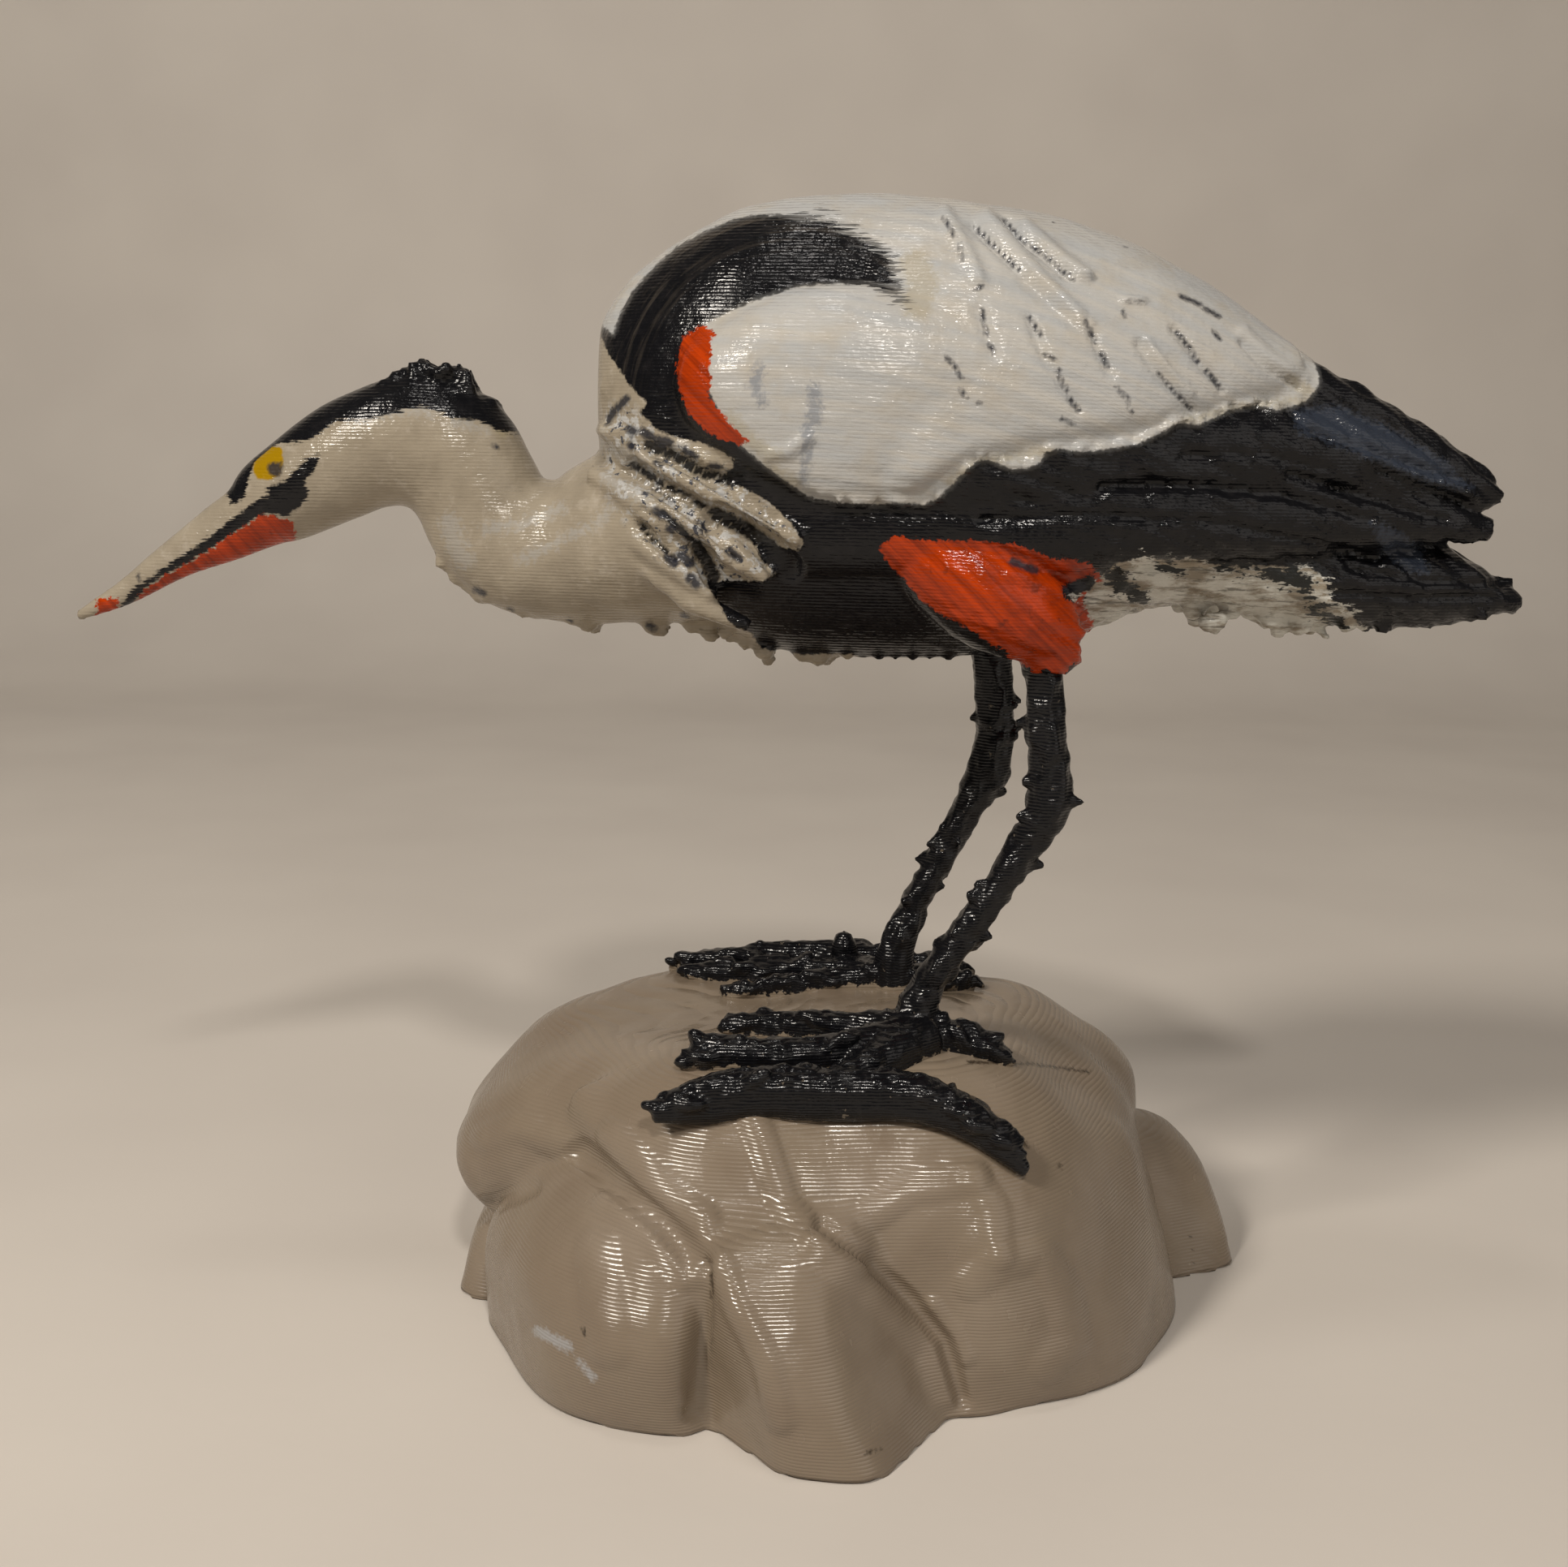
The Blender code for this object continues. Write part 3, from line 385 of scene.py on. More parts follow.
# Thin bluish-white paint dragged over the cream and the white: how wide, then the line
SMEARS = (
    (24, (553, 645), (560, 668), (572, 690)), (12, (600, 652), (645, 645), (692, 626)),
    (10, (640, 690), (690, 668), (722, 650)), (9, (715, 655), (742, 640), (752, 622)),
    (14, (744, 548), (770, 560), (792, 575)), (16, (750, 590), (778, 606), (796, 616)),
    (16, (1003, 482), (1006, 500), (1000, 520)), (12, (996, 520), (994, 548), (990, 592)),
    (12, (936, 452), (930, 476), (940, 494)), (14, (470, 508), (500, 500), (530, 506)),
    (12, (440, 516), (462, 512)), (8, (560, 518), (600, 530)),
)
BLACK_VALLEYS = 6         # how many of the first gaps are painted black
# Deep gaps between the plumes: how wide, then the line
VALLEYS = (
    (14, (800, 548), (832, 562), (864, 582), (905, 594)),
    (9, (780, 572), (806, 590), (846, 612), (884, 634)),
    (18, (884, 634), (920, 652), (948, 672), (975, 700)),
    (10, (816, 632), (840, 654), (858, 672)), (16, (858, 672), (872, 694), (880, 712)),
    (8, (790, 648), (806, 666), (832, 690)), (10, (896, 602), (930, 620), (956, 640)),
    (10, (872, 644), (890, 668), (905, 690)),
)
PLUME_PATCH = (
    (742, 498), (770, 488), (830, 536), (902, 572), (992, 656), (985, 690), (940, 722), (890, 736),
    (850, 722), (800, 684), (762, 640), (738, 600),
)
# Yellowish glaze on the white: how wide, then the line
STAINS = (
    (36, (1128, 326), (1138, 350), (1130, 374)), (9, (1462, 518), (1530, 502), (1604, 494)),
    (11, (1172, 594), (1208, 568), (1290, 557)), (14, (1592, 468), (1612, 484)),
    (14, (950, 575), (978, 594)), (18, (900, 516), (925, 545), (955, 562)),
    (12, (612, 528), (622, 536)),
)
SERRATION = ((1686, 566), (1740, 582), (1785, 596), (1814, 608))
SERRATION_PITCH = 11.0
# Brush marks: how wide, then the points of the line
DARK_MARKS = (
    (5, (1163, 269), (1170, 280), (1176, 291)), (4, (1183, 300), (1185, 321)),
    (6, (1203, 356), (1209, 353)), (5, (1210, 382), (1213, 398), (1215, 412)),
    (5, (1219, 424), (1224, 434)), (5, (1167, 441), (1176, 452), (1185, 466)),
    (5, (1184, 480), (1190, 490)), (4, (1205, 496), (1208, 497)),
    (6, (1203, 281), (1226, 305), (1242, 320), (1256, 333)),
    (6, (1236, 272), (1258, 294), (1288, 315), (1304, 330), (1322, 344)),
    (5, (1267, 389), (1275, 402), (1281, 413)), (4, (1286, 437), (1300, 442)),
    (6, (1304, 456), (1308, 470), (1316, 482)), (6, (1318, 492), (1329, 506)),
    (5, (1338, 396), (1349, 421)), (6, (1357, 436), (1364, 452)),
    (5, (1428, 460), (1449, 485), (1467, 504)), (6, (1450, 410), (1467, 431), (1476, 446)),
    (6, (1486, 456), (1497, 470), (1504, 479)), (5, (1455, 365), (1478, 375)),
    (5, (1484, 380), (1502, 390)), (4, (1390, 371), (1407, 372)), (5, (1384, 385), (1386, 390)),
    (4, (1272, 266), (1298, 273)), (4, (1384, 298), (1388, 303)), (4, (1494, 408), (1503, 418)),
    (5, (1376, 478), (1390, 492)), (5, (1308, 516), (1322, 522)), (4, (1390, 503), (1396, 508)),
    (9, (748, 520), (758, 506), (772, 492)), (11, (776, 529), (780, 532)),
    (11, (792, 532), (802, 538)), (12, (812, 543), (824, 546)), (9, (844, 556), (857, 563)),
    (8, (876, 574), (886, 576)), (8, (808, 569), (814, 572)), (8, (776, 548), (779, 552)),
    (8, (806, 600), (812, 604)), (8, (820, 612), (827, 617)), (10, (808, 630), (818, 636)),
    (8, (824, 652), (828, 655)), (13, (838, 684), (850, 694)), (12, (850, 712), (858, 720)),
    (9, (822, 688), (830, 696)), (9, (860, 644), (868, 656)), (10, (898, 678), (910, 688)),
    (8, (800, 770), (806, 775)), (7, (842, 758), (846, 762)), (5, (609, 549), (612, 551)),
    (7, (586, 727), (596, 731)), (5, (627, 751), (631, 753)), (5, (700, 763), (704, 765)),
    (3, (170, 708), (173, 719)), (15, (337, 577), (340, 580)), (4, (345, 571), (347, 577)),
    (9, (1246, 692), (1276, 703)), (12, (1316, 726), (1332, 722)),
)
# Carving that the paint follows: width in pixels, height in mm (below zero for a groove), line
CARVING = (
    (26, 0.55, (1163, 262), (1186, 300), (1206, 344)),
    (14, -0.5, (1199, 278), (1226, 305), (1254, 332)),
    (28, 0.6, (1214, 268), (1246, 306), (1290, 350), (1338, 400)),
    (14, -0.55, (1238, 272), (1263, 298), (1290, 316), (1318, 340)),
    (24, 0.5, (1262, 280), (1300, 312), (1338, 339)), (26, -0.3, (1262, 345), (1296, 372), (1331, 402)),
    (14, -0.4, (1267, 389), (1285, 439), (1312, 480), (1329, 506)),
    (14, -0.4, (1338, 396), (1360, 444), (1370, 462)),
    (16, -0.45, (1404, 423), (1426, 457), (1449, 485), (1468, 506)),
    (12, 0.35, (1414, 419), (1440, 455), (1468, 484)),
    (14, -0.45, (1447, 405), (1467, 430), (1485, 453), (1506, 480)),
    (22, 0.35, (1532, 408), (1566, 440), (1606, 466)),
    (12, -0.5, (1531, 421), (1563, 453), (1599, 476)),
    (22, -0.3, (1206, 382), (1216, 412), (1224, 436)), (22, 0.4, (948, 560), (970, 557), (996, 540)),
    (12, 0.45, (1386, 368), (1408, 370)), (12, 0.45, (1329, 339), (1342, 339)),
    (20, 0.5, (744, 530), (790, 538), (838, 552), (880, 572)),
    (14, -0.7, (800, 560), (850, 578), (892, 588)),
    (14, -0.7, (770, 580), (820, 612), (860, 640)), (14, -0.7, (866, 590), (910, 618), (960, 655)),
    (14, -0.6, (790, 628), (830, 660), (862, 690)), (14, -0.6, (900, 640), (925, 668), (950, 700)),
    (16, -0.6, (1210, 640), (1330, 634), (1450, 640)),
    (18, -0.7, (1360, 600), (1450, 596), (1590, 610), (1690, 640)),
    (16, -0.7, (1590, 585), (1680, 610), (1780, 640)), (14, 0.5, (1690, 566), (1750, 590), (1812, 608)),
    (14, -0.6, (1700, 575), (1750, 600), (1800, 618)),
    (16, -0.6, (1480, 640), (1600, 665), (1700, 690)),
    (14, -0.5, (1620, 530), (1700, 560), (1800, 590)),
    (16, -0.6, (1640, 730), (1740, 738), (1840, 735)),
    (14, -0.5, (1660, 700), (1750, 715), (1850, 720)),
    (14, -0.5, (1460, 560), (1560, 560), (1640, 580)),
)
# Lumps of the print and of thick paint: x, y and radius, all in pixels
CREST_LUMPS = (
    (468, 481, 6), (480, 474, 8), (492, 467, 9), (504, 460, 9), (514, 452, 8), (523, 446, 7),
    (533, 456, 9), (545, 461, 9), (556, 455, 9), (568, 456, 9), (578, 464, 9), (583, 475, 9),
    (572, 484, 11), (588, 493, 9), (600, 493, 8), (610, 498, 8), (613, 508, 8), (602, 506, 9),
    (558, 472, 11), (535, 471, 10), (516, 468, 10), (498, 475, 9),
)
THROAT_LUMPS = (
    (546, 694, 8), (564, 712, 10), (578, 724, 8), (592, 732, 13), (604, 736, 8),
    (632, 751, 6), (645, 754, 9), (660, 757, 7), (706, 763, 9), (726, 769, 10), (733, 774, 7),
    (804, 768, 13), (817, 775, 8), (852, 771, 9), (875, 779, 10),
)
BELLY_LUMPS = (
    (893, 777, 11), (899, 788, 8), (918, 792, 10), (941, 800, 14), (946, 813, 9), (988, 801, 12),
    (1009, 807, 14), (1020, 812, 9), (1044, 807, 7), (1064, 808, 5), (1082, 808, 6),
    (1103, 808, 5), (1124, 808, 6), (1146, 808, 5), (1168, 807, 6),
)
SCAR_LUMPS = (
    (1346, 748, 13), (1370, 752, 12), (1392, 744, 10), (1466, 738, 12), (1478, 750, 15),
    (1490, 764, 14), (1500, 772, 10), (1516, 756, 11), (1545, 752, 10), (1562, 762, 13),
    (1580, 770, 12), (1604, 768, 14), (1626, 772, 12), (1633, 784, 8), (1660, 768, 11),
    (1684, 772, 8), (1700, 776, 7), (1736, 770, 8), (1760, 772, 6), (1790, 764, 8), (1820, 758, 7),
)
# Broken ends of the flight feathers and the tail: how far out in mm, width in pixels, the line
BROKEN_ENDS = (
    (3.2, 9, (1790, 562), (1822, 576), (1839, 586)), (3.0, 8, (1800, 592), (1822, 612), (1834, 628)),
    (4.0, 9, (1770, 622), (1800, 634), (1822, 644)), (4.4, 9, (1740, 640), (1770, 656), (1792, 668)),
    (0.8, 9, (1830, 716), (1850, 714), (1864, 718)), (1.2, 11, (1830, 745), (1850, 745), (1866, 752)),
    (2.0, 7, (1836, 730), (1848, 733), (1858, 736)), (2.6, 7, (1790, 760), (1812, 764), (1824, 770)),
)
WING_EDGE = (
    (983, 603), (1000, 611), (1033, 617), (1075, 619), (1117, 617), (1140, 620), (1160, 606),
    (1178, 588), (1195, 573), (1210, 564), (1228, 567), (1250, 575), (1276, 568), (1290, 554),
    (1331, 554), (1367, 550), (1404, 543), (1431, 530), (1449, 519), (1476, 520), (1495, 511),
    (1517, 501), (1549, 496), (1576, 502), (1595, 497),
)
# Edges and hollows of the boulder's front: width in pixels, height in mm, the line in pixels
ROCK_CARVING = (
    (46, 0.7, (755, 1398), (800, 1450), (868, 1502)), (40, -0.7, (716, 1420), (770, 1468), (866, 1556)),
    (44, 0.6, (925, 1372), (945, 1420), (965, 1480), (1000, 1522), (1056, 1552)),
    (26, -0.8, (1012, 1512), (1070, 1552), (1124, 1604), (1164, 1654), (1186, 1728)),
    (36, 0.5, (1000, 1540), (1050, 1570), (1100, 1616), (1142, 1664), (1164, 1726)),
    (24, -0.7, (868, 1560), (868, 1620), (860, 1700), (852, 1745)),
    (40, 0.6, (748, 1484), (800, 1520), (844, 1574)),
    (40, 0.5, (890, 1560), (906, 1610), (944, 1680), (962, 1750)),
    (40, 0.4, (884, 1550), (950, 1530), (1010, 1540)),
    (48, 0.45, (1078, 1494), (1120, 1464), (1200, 1450)),
    (44, 0.35, (1200, 1450), (1226, 1490), (1230, 1545)),
    (50, 0.42, (1196, 1582), (1236, 1553), (1284, 1546), (1310, 1592), (1322, 1650), (1292, 1686)),
    (28, 0.4, (1150, 1610), (1176, 1640), (1190, 1672)),
    (44, 0.5, (600, 1402), (640, 1386), (692, 1412)),
    (30, -0.5, (654, 1462), (618, 1478), (586, 1498)), (60, 0.5, (735, 1540), (742, 1600), (752, 1660)),
)
# Dark lines: first painted shade down the crease between the front left chunk and the prow, then cracks,
# hairs and specks; and whitish scuffs: how wide, then the line
ROCK_CREASE_SHADE_AND_CRACKS = (
    (6, (871, 1560), (868, 1575), (873, 1586), (870, 1600)),
    (3, (1192, 1309), (1270, 1311), (1342, 1321)),
    (3, (1470, 1505), (1466, 1530), (1472, 1556)), (5, (1068, 1791), (1085, 1786)),
    (6, (1198, 1300), (1230, 1306)),
    (5, (718, 1636), (722, 1644)), (4, (1305, 1436), (1308, 1440)), (4, (1262, 1408), (1266, 1414)),
)
ROCK_SCUFFS = ((12, (662, 1640), (682, 1650), (700, 1660)), (8, (714, 1678), (724, 1690), (732, 1700)))
# Stage: a floor, a curve and a wall
FLOOR_FRONT = -900.0
FLOOR_FLAT = 150.0
WALL_START = 420.0
WALL_CURVE = 160.0
WALL_TOP = 1400.0
HALF_STAGE = 1600.0
CURVE_STEPS = 12
# Lamps: name, place, power in watts, width of the disk in metres, colour
LAMPS = (
    ("key", (-430, -400, 560), 4.4, 0.15, (1.0, 0.93, 0.84)),
    ("front", (80, -576, 604), 2.5, 0.07, (1.0, 0.94, 0.87)),
    ("overhead", (-90, -60, 900), 0.6, 0.12, (1.0, 0.95, 0.90)),
    ("fill", (520, -480, 330), 0.85, 0.60, (1.0, 0.93, 0.86)),
)
LAMP_AIM = (0.0, 0.0, 60.0)
ROOM_COLOR = (1.0, 0.95, 0.89, 1)
ROOM_STRENGTH = 0.075


def smooth_rows(table, steps):
    """Rows between the table's own, on Catmull-Rom curves through them."""
    rows = np.array(table, float)
    ends = np.vstack((2 * rows[0] - rows[1], rows, 2 * rows[-1] - rows[-2]))
    out = []
    for i in range(1, len(ends) - 2):
        a, b, c, d = ends[i - 1:i + 3]
        for t in np.arange(steps) / steps:
            out.append(0.5 * (2 * b + (c - a) * t + (2 * a - 5 * b + 4 * c - d) * t ** 2
                              + (3 * b - a - 3 * c + d) * t ** 3))
    out.append(rows[-1])
    return np.array(out)


def pixels(points):
    """Where the photograph's camera sees each point, in pixels."""
    d = points - EYE
    ahead = d[:, 1] * math.cos(PITCH) - d[:, 2] * math.sin(PITCH)
    down = -d[:, 1] * math.sin(PITCH) - d[:, 2] * math.cos(PITCH)
    u, v = FOCAL * d[:, 0] / ahead, FOCAL * down / ahead
    c, s = math.cos(ROLL), math.sin(ROLL)
    return np.stack((IMAGE[0] / 2 + c * u - s * v, IMAGE[1] / 2 + s * u + c * v), axis=1)


def on_plane(px, py, y):
    """The point at depth y that the photograph's camera sees at a pixel."""
    dx, dy = px - IMAGE[0] / 2, py - IMAGE[1] / 2
    c, s = math.cos(ROLL), math.sin(ROLL)
    u, v = (c * dx + s * dy) / FOCAL, (-s * dx + c * dy) / FOCAL
    c, s = math.cos(PITCH), math.sin(PITCH)
    ray = np.array((u, c - s * v, -s - c * v))
    return EYE + ray * (y - EYE[1]) / ray[1]


def left_side(points):
    """The points with those of the bird's right side mirrored to its left."""
    return np.stack((points[:, 0], -np.abs(points[:, 1]), points[:, 2]), axis=1)


def noise(points, size, seed=0):
    """Smooth noise from -1 to 1 that changes over about size. Its large numbers only scramble."""
    p = points / size + seed * 17.31
    cell = np.floor(p).astype(np.int64)
    f = p - cell
    f = f * f * (3 - 2 * f)
    total = np.zeros(len(p))
    for corner in range(8):
        offset = np.array((corner & 1, corner >> 1 & 1, corner >> 2 & 1))
        c = cell + offset
        h = (c[:, 0] * 73856093) ^ (c[:, 1] * 19349663) ^ (c[:, 2] * 83492791) ^ (seed * 2654435)
        h = (h ^ (h >> 13)) * 1274126177 & 0x7FFFFFFF
        h = (h ^ (h >> 16)) & 0xFFFF
        weight = np.prod(np.where(offset, f, 1 - f), axis=1)
        total += weight * (h / 32767.5 - 1)
    return total


def fade(values, start, run):
    """0 up to a start, rising to 1 over a run."""
    return np.clip((values - start) / run, 0, 1)


def to_piece(points, a, b):
    """Distance from each point to the straight piece between two others."""
    ab = b - a
    t = np.clip(((points - a) @ ab) / (ab @ ab), 0, 1)
    return np.linalg.norm(points - a - t[:, None] * ab, axis=1)


def inside(points, outline):
    """Distance in pixels to an outline, above zero inside it."""
    outline = np.array(outline, float)
    away = np.full(len(points), np.inf)
    odd = np.zeros(len(points), bool)
    for a, b in zip(outline, np.roll(outline, -1, axis=0)):
        away = np.minimum(away, to_piece(points, a, b))
        if a[1] != b[1]:
            crosses = (points[:, 1] >= min(a[1], b[1])) & (points[:, 1] < max(a[1], b[1]))
            x = a[0] + (points[:, 1] - a[1]) / (b[1] - a[1]) * (b[0] - a[0])
            odd ^= crosses & (points[:, 0] < x)
    return np.where(odd, away, -away)


def from_line(points, line):
    """Distance in pixels to a line through several points."""
    line = np.array(line, float)
    return np.min([to_piece(points, a, b) for a, b in zip(line[:-1], line[1:])], axis=0)


def ridge(points, line, reach):
    """1 on a line, falling to 0 at a reach in pixels."""
    return np.clip(1 - (from_line(points, line) / reach) ** 2, 0, 1)


def share_seen(points, out):
    """1 where a surface turns to the camera, down to 0 where it turns away from it."""
    towards = (EYE - points) / np.linalg.norm(EYE - points, axis=1)[:, None]
    return np.clip((out * towards).sum(axis=1) * 4, 0, 1)


def near_lines(points, strokes):
    """Above zero within half the width of any of the strokes, in pixels."""
    return np.max([width / 2 - from_line(points, line) for width, *line in strokes], axis=0)


def add_object(name, data):
    obj = bpy.data.objects.new(name, data)
    bpy.context.scene.collection.objects.link(obj)
    return obj


def add_mesh(name, points, faces):
    """A mesh from points in millimetres."""
    mesh = bpy.data.meshes.new(name)
    mesh.from_pydata([tuple(p) for p in np.array(points) * MM], [], faces)
    return add_object(name, mesh)


class Form:
    """Closed bodies gathered into one mesh, in millimetres."""

    def __init__(self):
        self.points, self.faces, self.count = [], [], 0

    def add(self, points, faces):
        self.points.append(np.array(points))
        self.faces.extend(tuple(i + self.count for i in face) for face in faces)
        self.count += len(points)

    def loft(self, rings):
        sides = len(rings[0])
        faces = [tuple(reversed(range(sides)))]
        for i in range(len(rings) - 1):
            for j in range(sides):
                k = (j + 1) % sides
                faces.append((i * sides + j, i * sides + k, (i + 1) * sides + k, (i + 1) * sides + j))
        faces.append(tuple(range((len(rings) - 1) * sides, len(rings) * sides)))
        self.add(np.concatenate(rings), faces)

    def tube(self, rows, sides=24):
        """Rows of x, y, z, half thickness and half width along a middle line."""
        rings = []
        for i, (x, y, z, thick, wide) in enumerate(rows):
            before, after = rows[max(i - 1, 0)], rows[min(i + 1, len(rows) - 1)]
            along = Vector(after[:3]) - Vector(before[:3])
            along.normalize()
            side = Vector((0.0, 1.0, 0.0))
            if abs(along.y) > 0.9:
                side = Vector((1.0, 0.0, 0.0))
            side = (side - along * side.dot(along)).normalized()
            up = side.cross(along)
            turns = [2 * math.pi * k / sides for k in range(sides)]
            rings.append(np.array([Vector((x, y, z)) + side * (wide * math.cos(a))
                                   + up * (thick * math.sin(a)) for a in turns]))
        self.loft(rings)

    def blob(self, place, sizes, turn=(0.0, 0.0, 0.0)):
        """An ellipsoid with half sizes, turned by angles in radians."""
        matrix = np.array(Euler(turn).to_matrix())
        points = (BALL_POINTS * np.array(sizes)) @ matrix.T + np.array(place)
        self.add(points, BALL_FACES)

    def object(self, name, voxel):
        """All the bodies melted into one closed skin."""
        obj = add_mesh(name, np.concatenate(self.points), self.faces)
        work = bmesh.new()
        work.from_mesh(obj.data)
        bmesh.ops.recalc_face_normals(work, faces=work.faces)
        work.to_mesh(obj.data)
        work.free()
        remesh = obj.modifiers.new("remesh", "REMESH")
        remesh.mode, remesh.voxel_size, remesh.adaptivity = "VOXEL", voxel * MM, 0.0
        smooth = obj.modifiers.new("smooth", "SMOOTH")
        smooth.factor, smooth.iterations = 0.5, 2
        graph = bpy.context.evaluated_depsgraph_get()
        obj.data = bpy.data.meshes.new_from_object(obj.evaluated_get(graph))
        obj.modifiers.clear()
        obj.data.shade_smooth()
        return obj


def ball():
    work = bmesh.new()
    bmesh.ops.create_icosphere(work, subdivisions=2, radius=1.0)
    points = np.array([v.co[:] for v in work.verts])
    faces = [tuple(v.index for v in f.verts) for f in work.faces]
    work.free()
    return points, faces


BALL_POINTS, BALL_FACES = ball()


def read(obj, items, name):
    """Three numbers for each of the mesh's points."""
    values = np.empty(len(obj.data.vertices) * 3, np.float32)
    items.foreach_get(name, values)
    return values.reshape(-1, 3).astype(float)


def coordinates(obj):
    return read(obj, obj.data.vertices, "co") / MM


def normals(obj):
    return read(obj, obj.data.vertex_normals, "vector")


def set_coordinates(obj, points):
    """Writes the points back, kept inside the CAD model's box."""
    low, high = np.array(CAD_BOX) / MM
    points = np.clip(points, low, high)
    obj.data.vertices.foreach_set("co", (points * MM).astype(np.float32).ravel())
    obj.data.update()


def store(obj, name, values):
    attribute = obj.data.attributes.new(name, "FLOAT", "POINT")
    attribute.data.foreach_set("value", np.asarray(values, np.float32))


def store_steepness(obj):
    """The sine of the surface's slope: the print's layer lines lie farther apart on flat ground."""
    store(obj, "steep", np.sqrt(np.clip(1 - normals(obj)[:, 2] ** 2, 0, 1)))


def upright_ring(x, y, widest, above, below, half, fullness=1.0, sides=64):
    """An upright oval section. Its lower half is squarer where fullness is below 1."""
    a = 2 * math.pi * np.arange(sides) / sides
    rise = np.where(np.sin(a) > 0, above, below)
    power = np.where(np.sin(a) > 0, 1.0, fullness)
    across = np.sign(np.cos(a)) * np.abs(np.cos(a)) ** power
    return np.stack((np.full(sides, x), y + half * across, widest + rise * np.sin(a)), axis=1)


def sections(table, fullness=1.0):
    """Rings for rows of x, top, widest height, bottom and half width."""
    return [upright_ring(x, 0.0, middle, top - middle, middle - low, half, fullness)
            for x, top, middle, low, half in smooth_rows(table, ROWS_BETWEEN)]


def add_body(form):
    form.loft(sections(TRUNK))
    form.tube(smooth_rows([(x, 0.0, z, t, w) for x, z, t, w in NECK], ROWS_BETWEEN), 48)
    form.loft(sections(MANTLE, LOWER_FULLNESS))
    form.loft([upright_ring(x, 0.0, (top + low) / 2, (top - low) / 2, (top - low) / 2, half)
               for x, top, low, half in smooth_rows(TAIL, ROWS_BETWEEN)])
    for side in (-1, 1):
        rings = []
        for x, top, low, out in smooth_rows(WING, ROWS_BETWEEN):
            middle, half = (top + low) / 2, (top - low) / 2
            deep = min(WING_THICKNESS / 2, half * 1.2)
            rings.append(upright_ring(x, side * (out - deep), middle, half, half, deep, LOWER_FULLNESS))
        form.loft(rings)
        for table in FLIGHT_FEATHERS:
            rows = [(x, side * out, z, high, wide) for x, out, z, high, wide in table]
            form.tube(smooth_rows(rows, ROWS_BETWEEN))
        form.tube(smooth_rows([(x, side * out, z, r, r) for x, out, z, r in THIGH], ROWS_BETWEEN))
        for table in PLUMES:
            rows = [(x, side * out, z, r, r * 1.3) for x, out, z, r in table]
            form.tube(smooth_rows(rows, ROWS_BETWEEN), 16)


def lumps(table, y, nearest, spread, side, rng):
    """Each lump's place, at a random distance to one side, and its radius in millimetres."""
    for px, py, radius in table:
        place = on_plane(px, py, y)
        place[1] = side * (nearest + spread * rng.random())
        yield place, radius / PIXELS_PER_MM


def add_lumps(form, rng):
    """Tufts of the crest, and drips and scars along the underside."""
    for side in (-1, 1):
        for place, r in lumps(CREST_LUMPS, 0.0, 0.4, 2.0, side, rng):
            sizes = r * (0.75 + 0.4 * rng.random(3))
            form.blob(place, sizes * (1.2, 1.0, 0.8), (rng.random(), 0.3 + rng.random(), rng.random()))
        for place, r in lumps(THROAT_LUMPS, 0.0, 0.3, 2.2, side, rng):
            form.blob(place, (r * 1.2, r, r * 0.9), (0, rng.random(), 0))
        for place, r in lumps(BELLY_LUMPS, -3.0, 2.0, 2.5, side, rng):
            form.blob(place, (r, r, r * (0.9 + 0.5 * rng.random())), (0, rng.normal() * 0.4, 0))
        for place, r in lumps(SCAR_LUMPS, -3.0, 1.0, 3.5, side, rng):
            form.blob(place, (r * 1.4, r, r * 0.9), (0, rng.normal() * 0.5, 0))
        for depth, width, *line in BROKEN_ENDS:
            rows = []
            for (px, py), share in zip(line, (1.0, 0.9, 0.45)):
                x, _y, z = on_plane(px, py, -depth)
                r = width / PIXELS_PER_MM / 2 * share
                rows.append((x, side * depth, z, r, r))
            form.tube(smooth_rows(rows, 4), 12)


def relief(px):
    """How far the carving and the beaded edge of the wing stand out, in millimetres."""
    out = np.zeros(len(px))
    for width, height, *line in CARVING:
        out += height * ridge(px, line, width / 2) ** 1.5
    out -= VALLEY_DEPTH * np.max([ridge(px, line, width) for width, *line in VALLEYS], axis=0)
    flat = np.stack((px[:, 0], px[:, 1] * 0.6, px[:, 0] * 0), axis=1)
    bead = 0.38 + 0.70 * noise(flat, 7.5, 3)
    tooth = 0.35 + 0.45 * np.sin(px[:, 0] * 2 * math.pi / SERRATION_PITCH)
    return out + ridge(px, WING_EDGE, EDGE_REACH) * bead + ridge(px, SERRATION, TOOTH_REACH) * tooth


def feather_relief(points, px, flow):
    """The relief with the furrows of the feathers, the scar under the tail and uneven paint."""
    black, wing, scar = (inside(px, outline) for outline in (BLACK_BODY, WHITE_WING, UNDER_TAIL))
    grain = np.stack((px[:, 0] / 9.0, flow, np.sign(points[:, 1]) * 40), axis=1)
    furrow = noise(grain, 9.0, 5) * 0.6 + noise(grain, 4.5, 6) * 0.4
    rear = fade(px[:, 0], *REAR_FADE) * fade(black, 0, 12) * (wing < 0)
    height = relief(px)
    height += rear * (furrow * 0.42 + noise(points, 1.5, 7) * 0.16)
    height += fade(wing, 0, 10) * (furrow * 0.10 + noise(points, 7.0, 12) * 0.16)
    rough = noise(points, 1.6, 8) * 0.6 + noise(points, 0.8, 9) * 0.4
    height += np.clip(scar / 10 + 0.5, 0, 1) * rough * 0.5
    breast = fade(px[:, 1], *BREAST_TOP) * fade(px[:, 0], *BREAST_FRONT)
    breast *= fade(-black, 0, 10) * (px[:, 0] < BREAST_BACK)
    height += breast * noise(points, 2.2, 10) * 0.18
    return height + noise(points, 5.0, 11) * 0.10


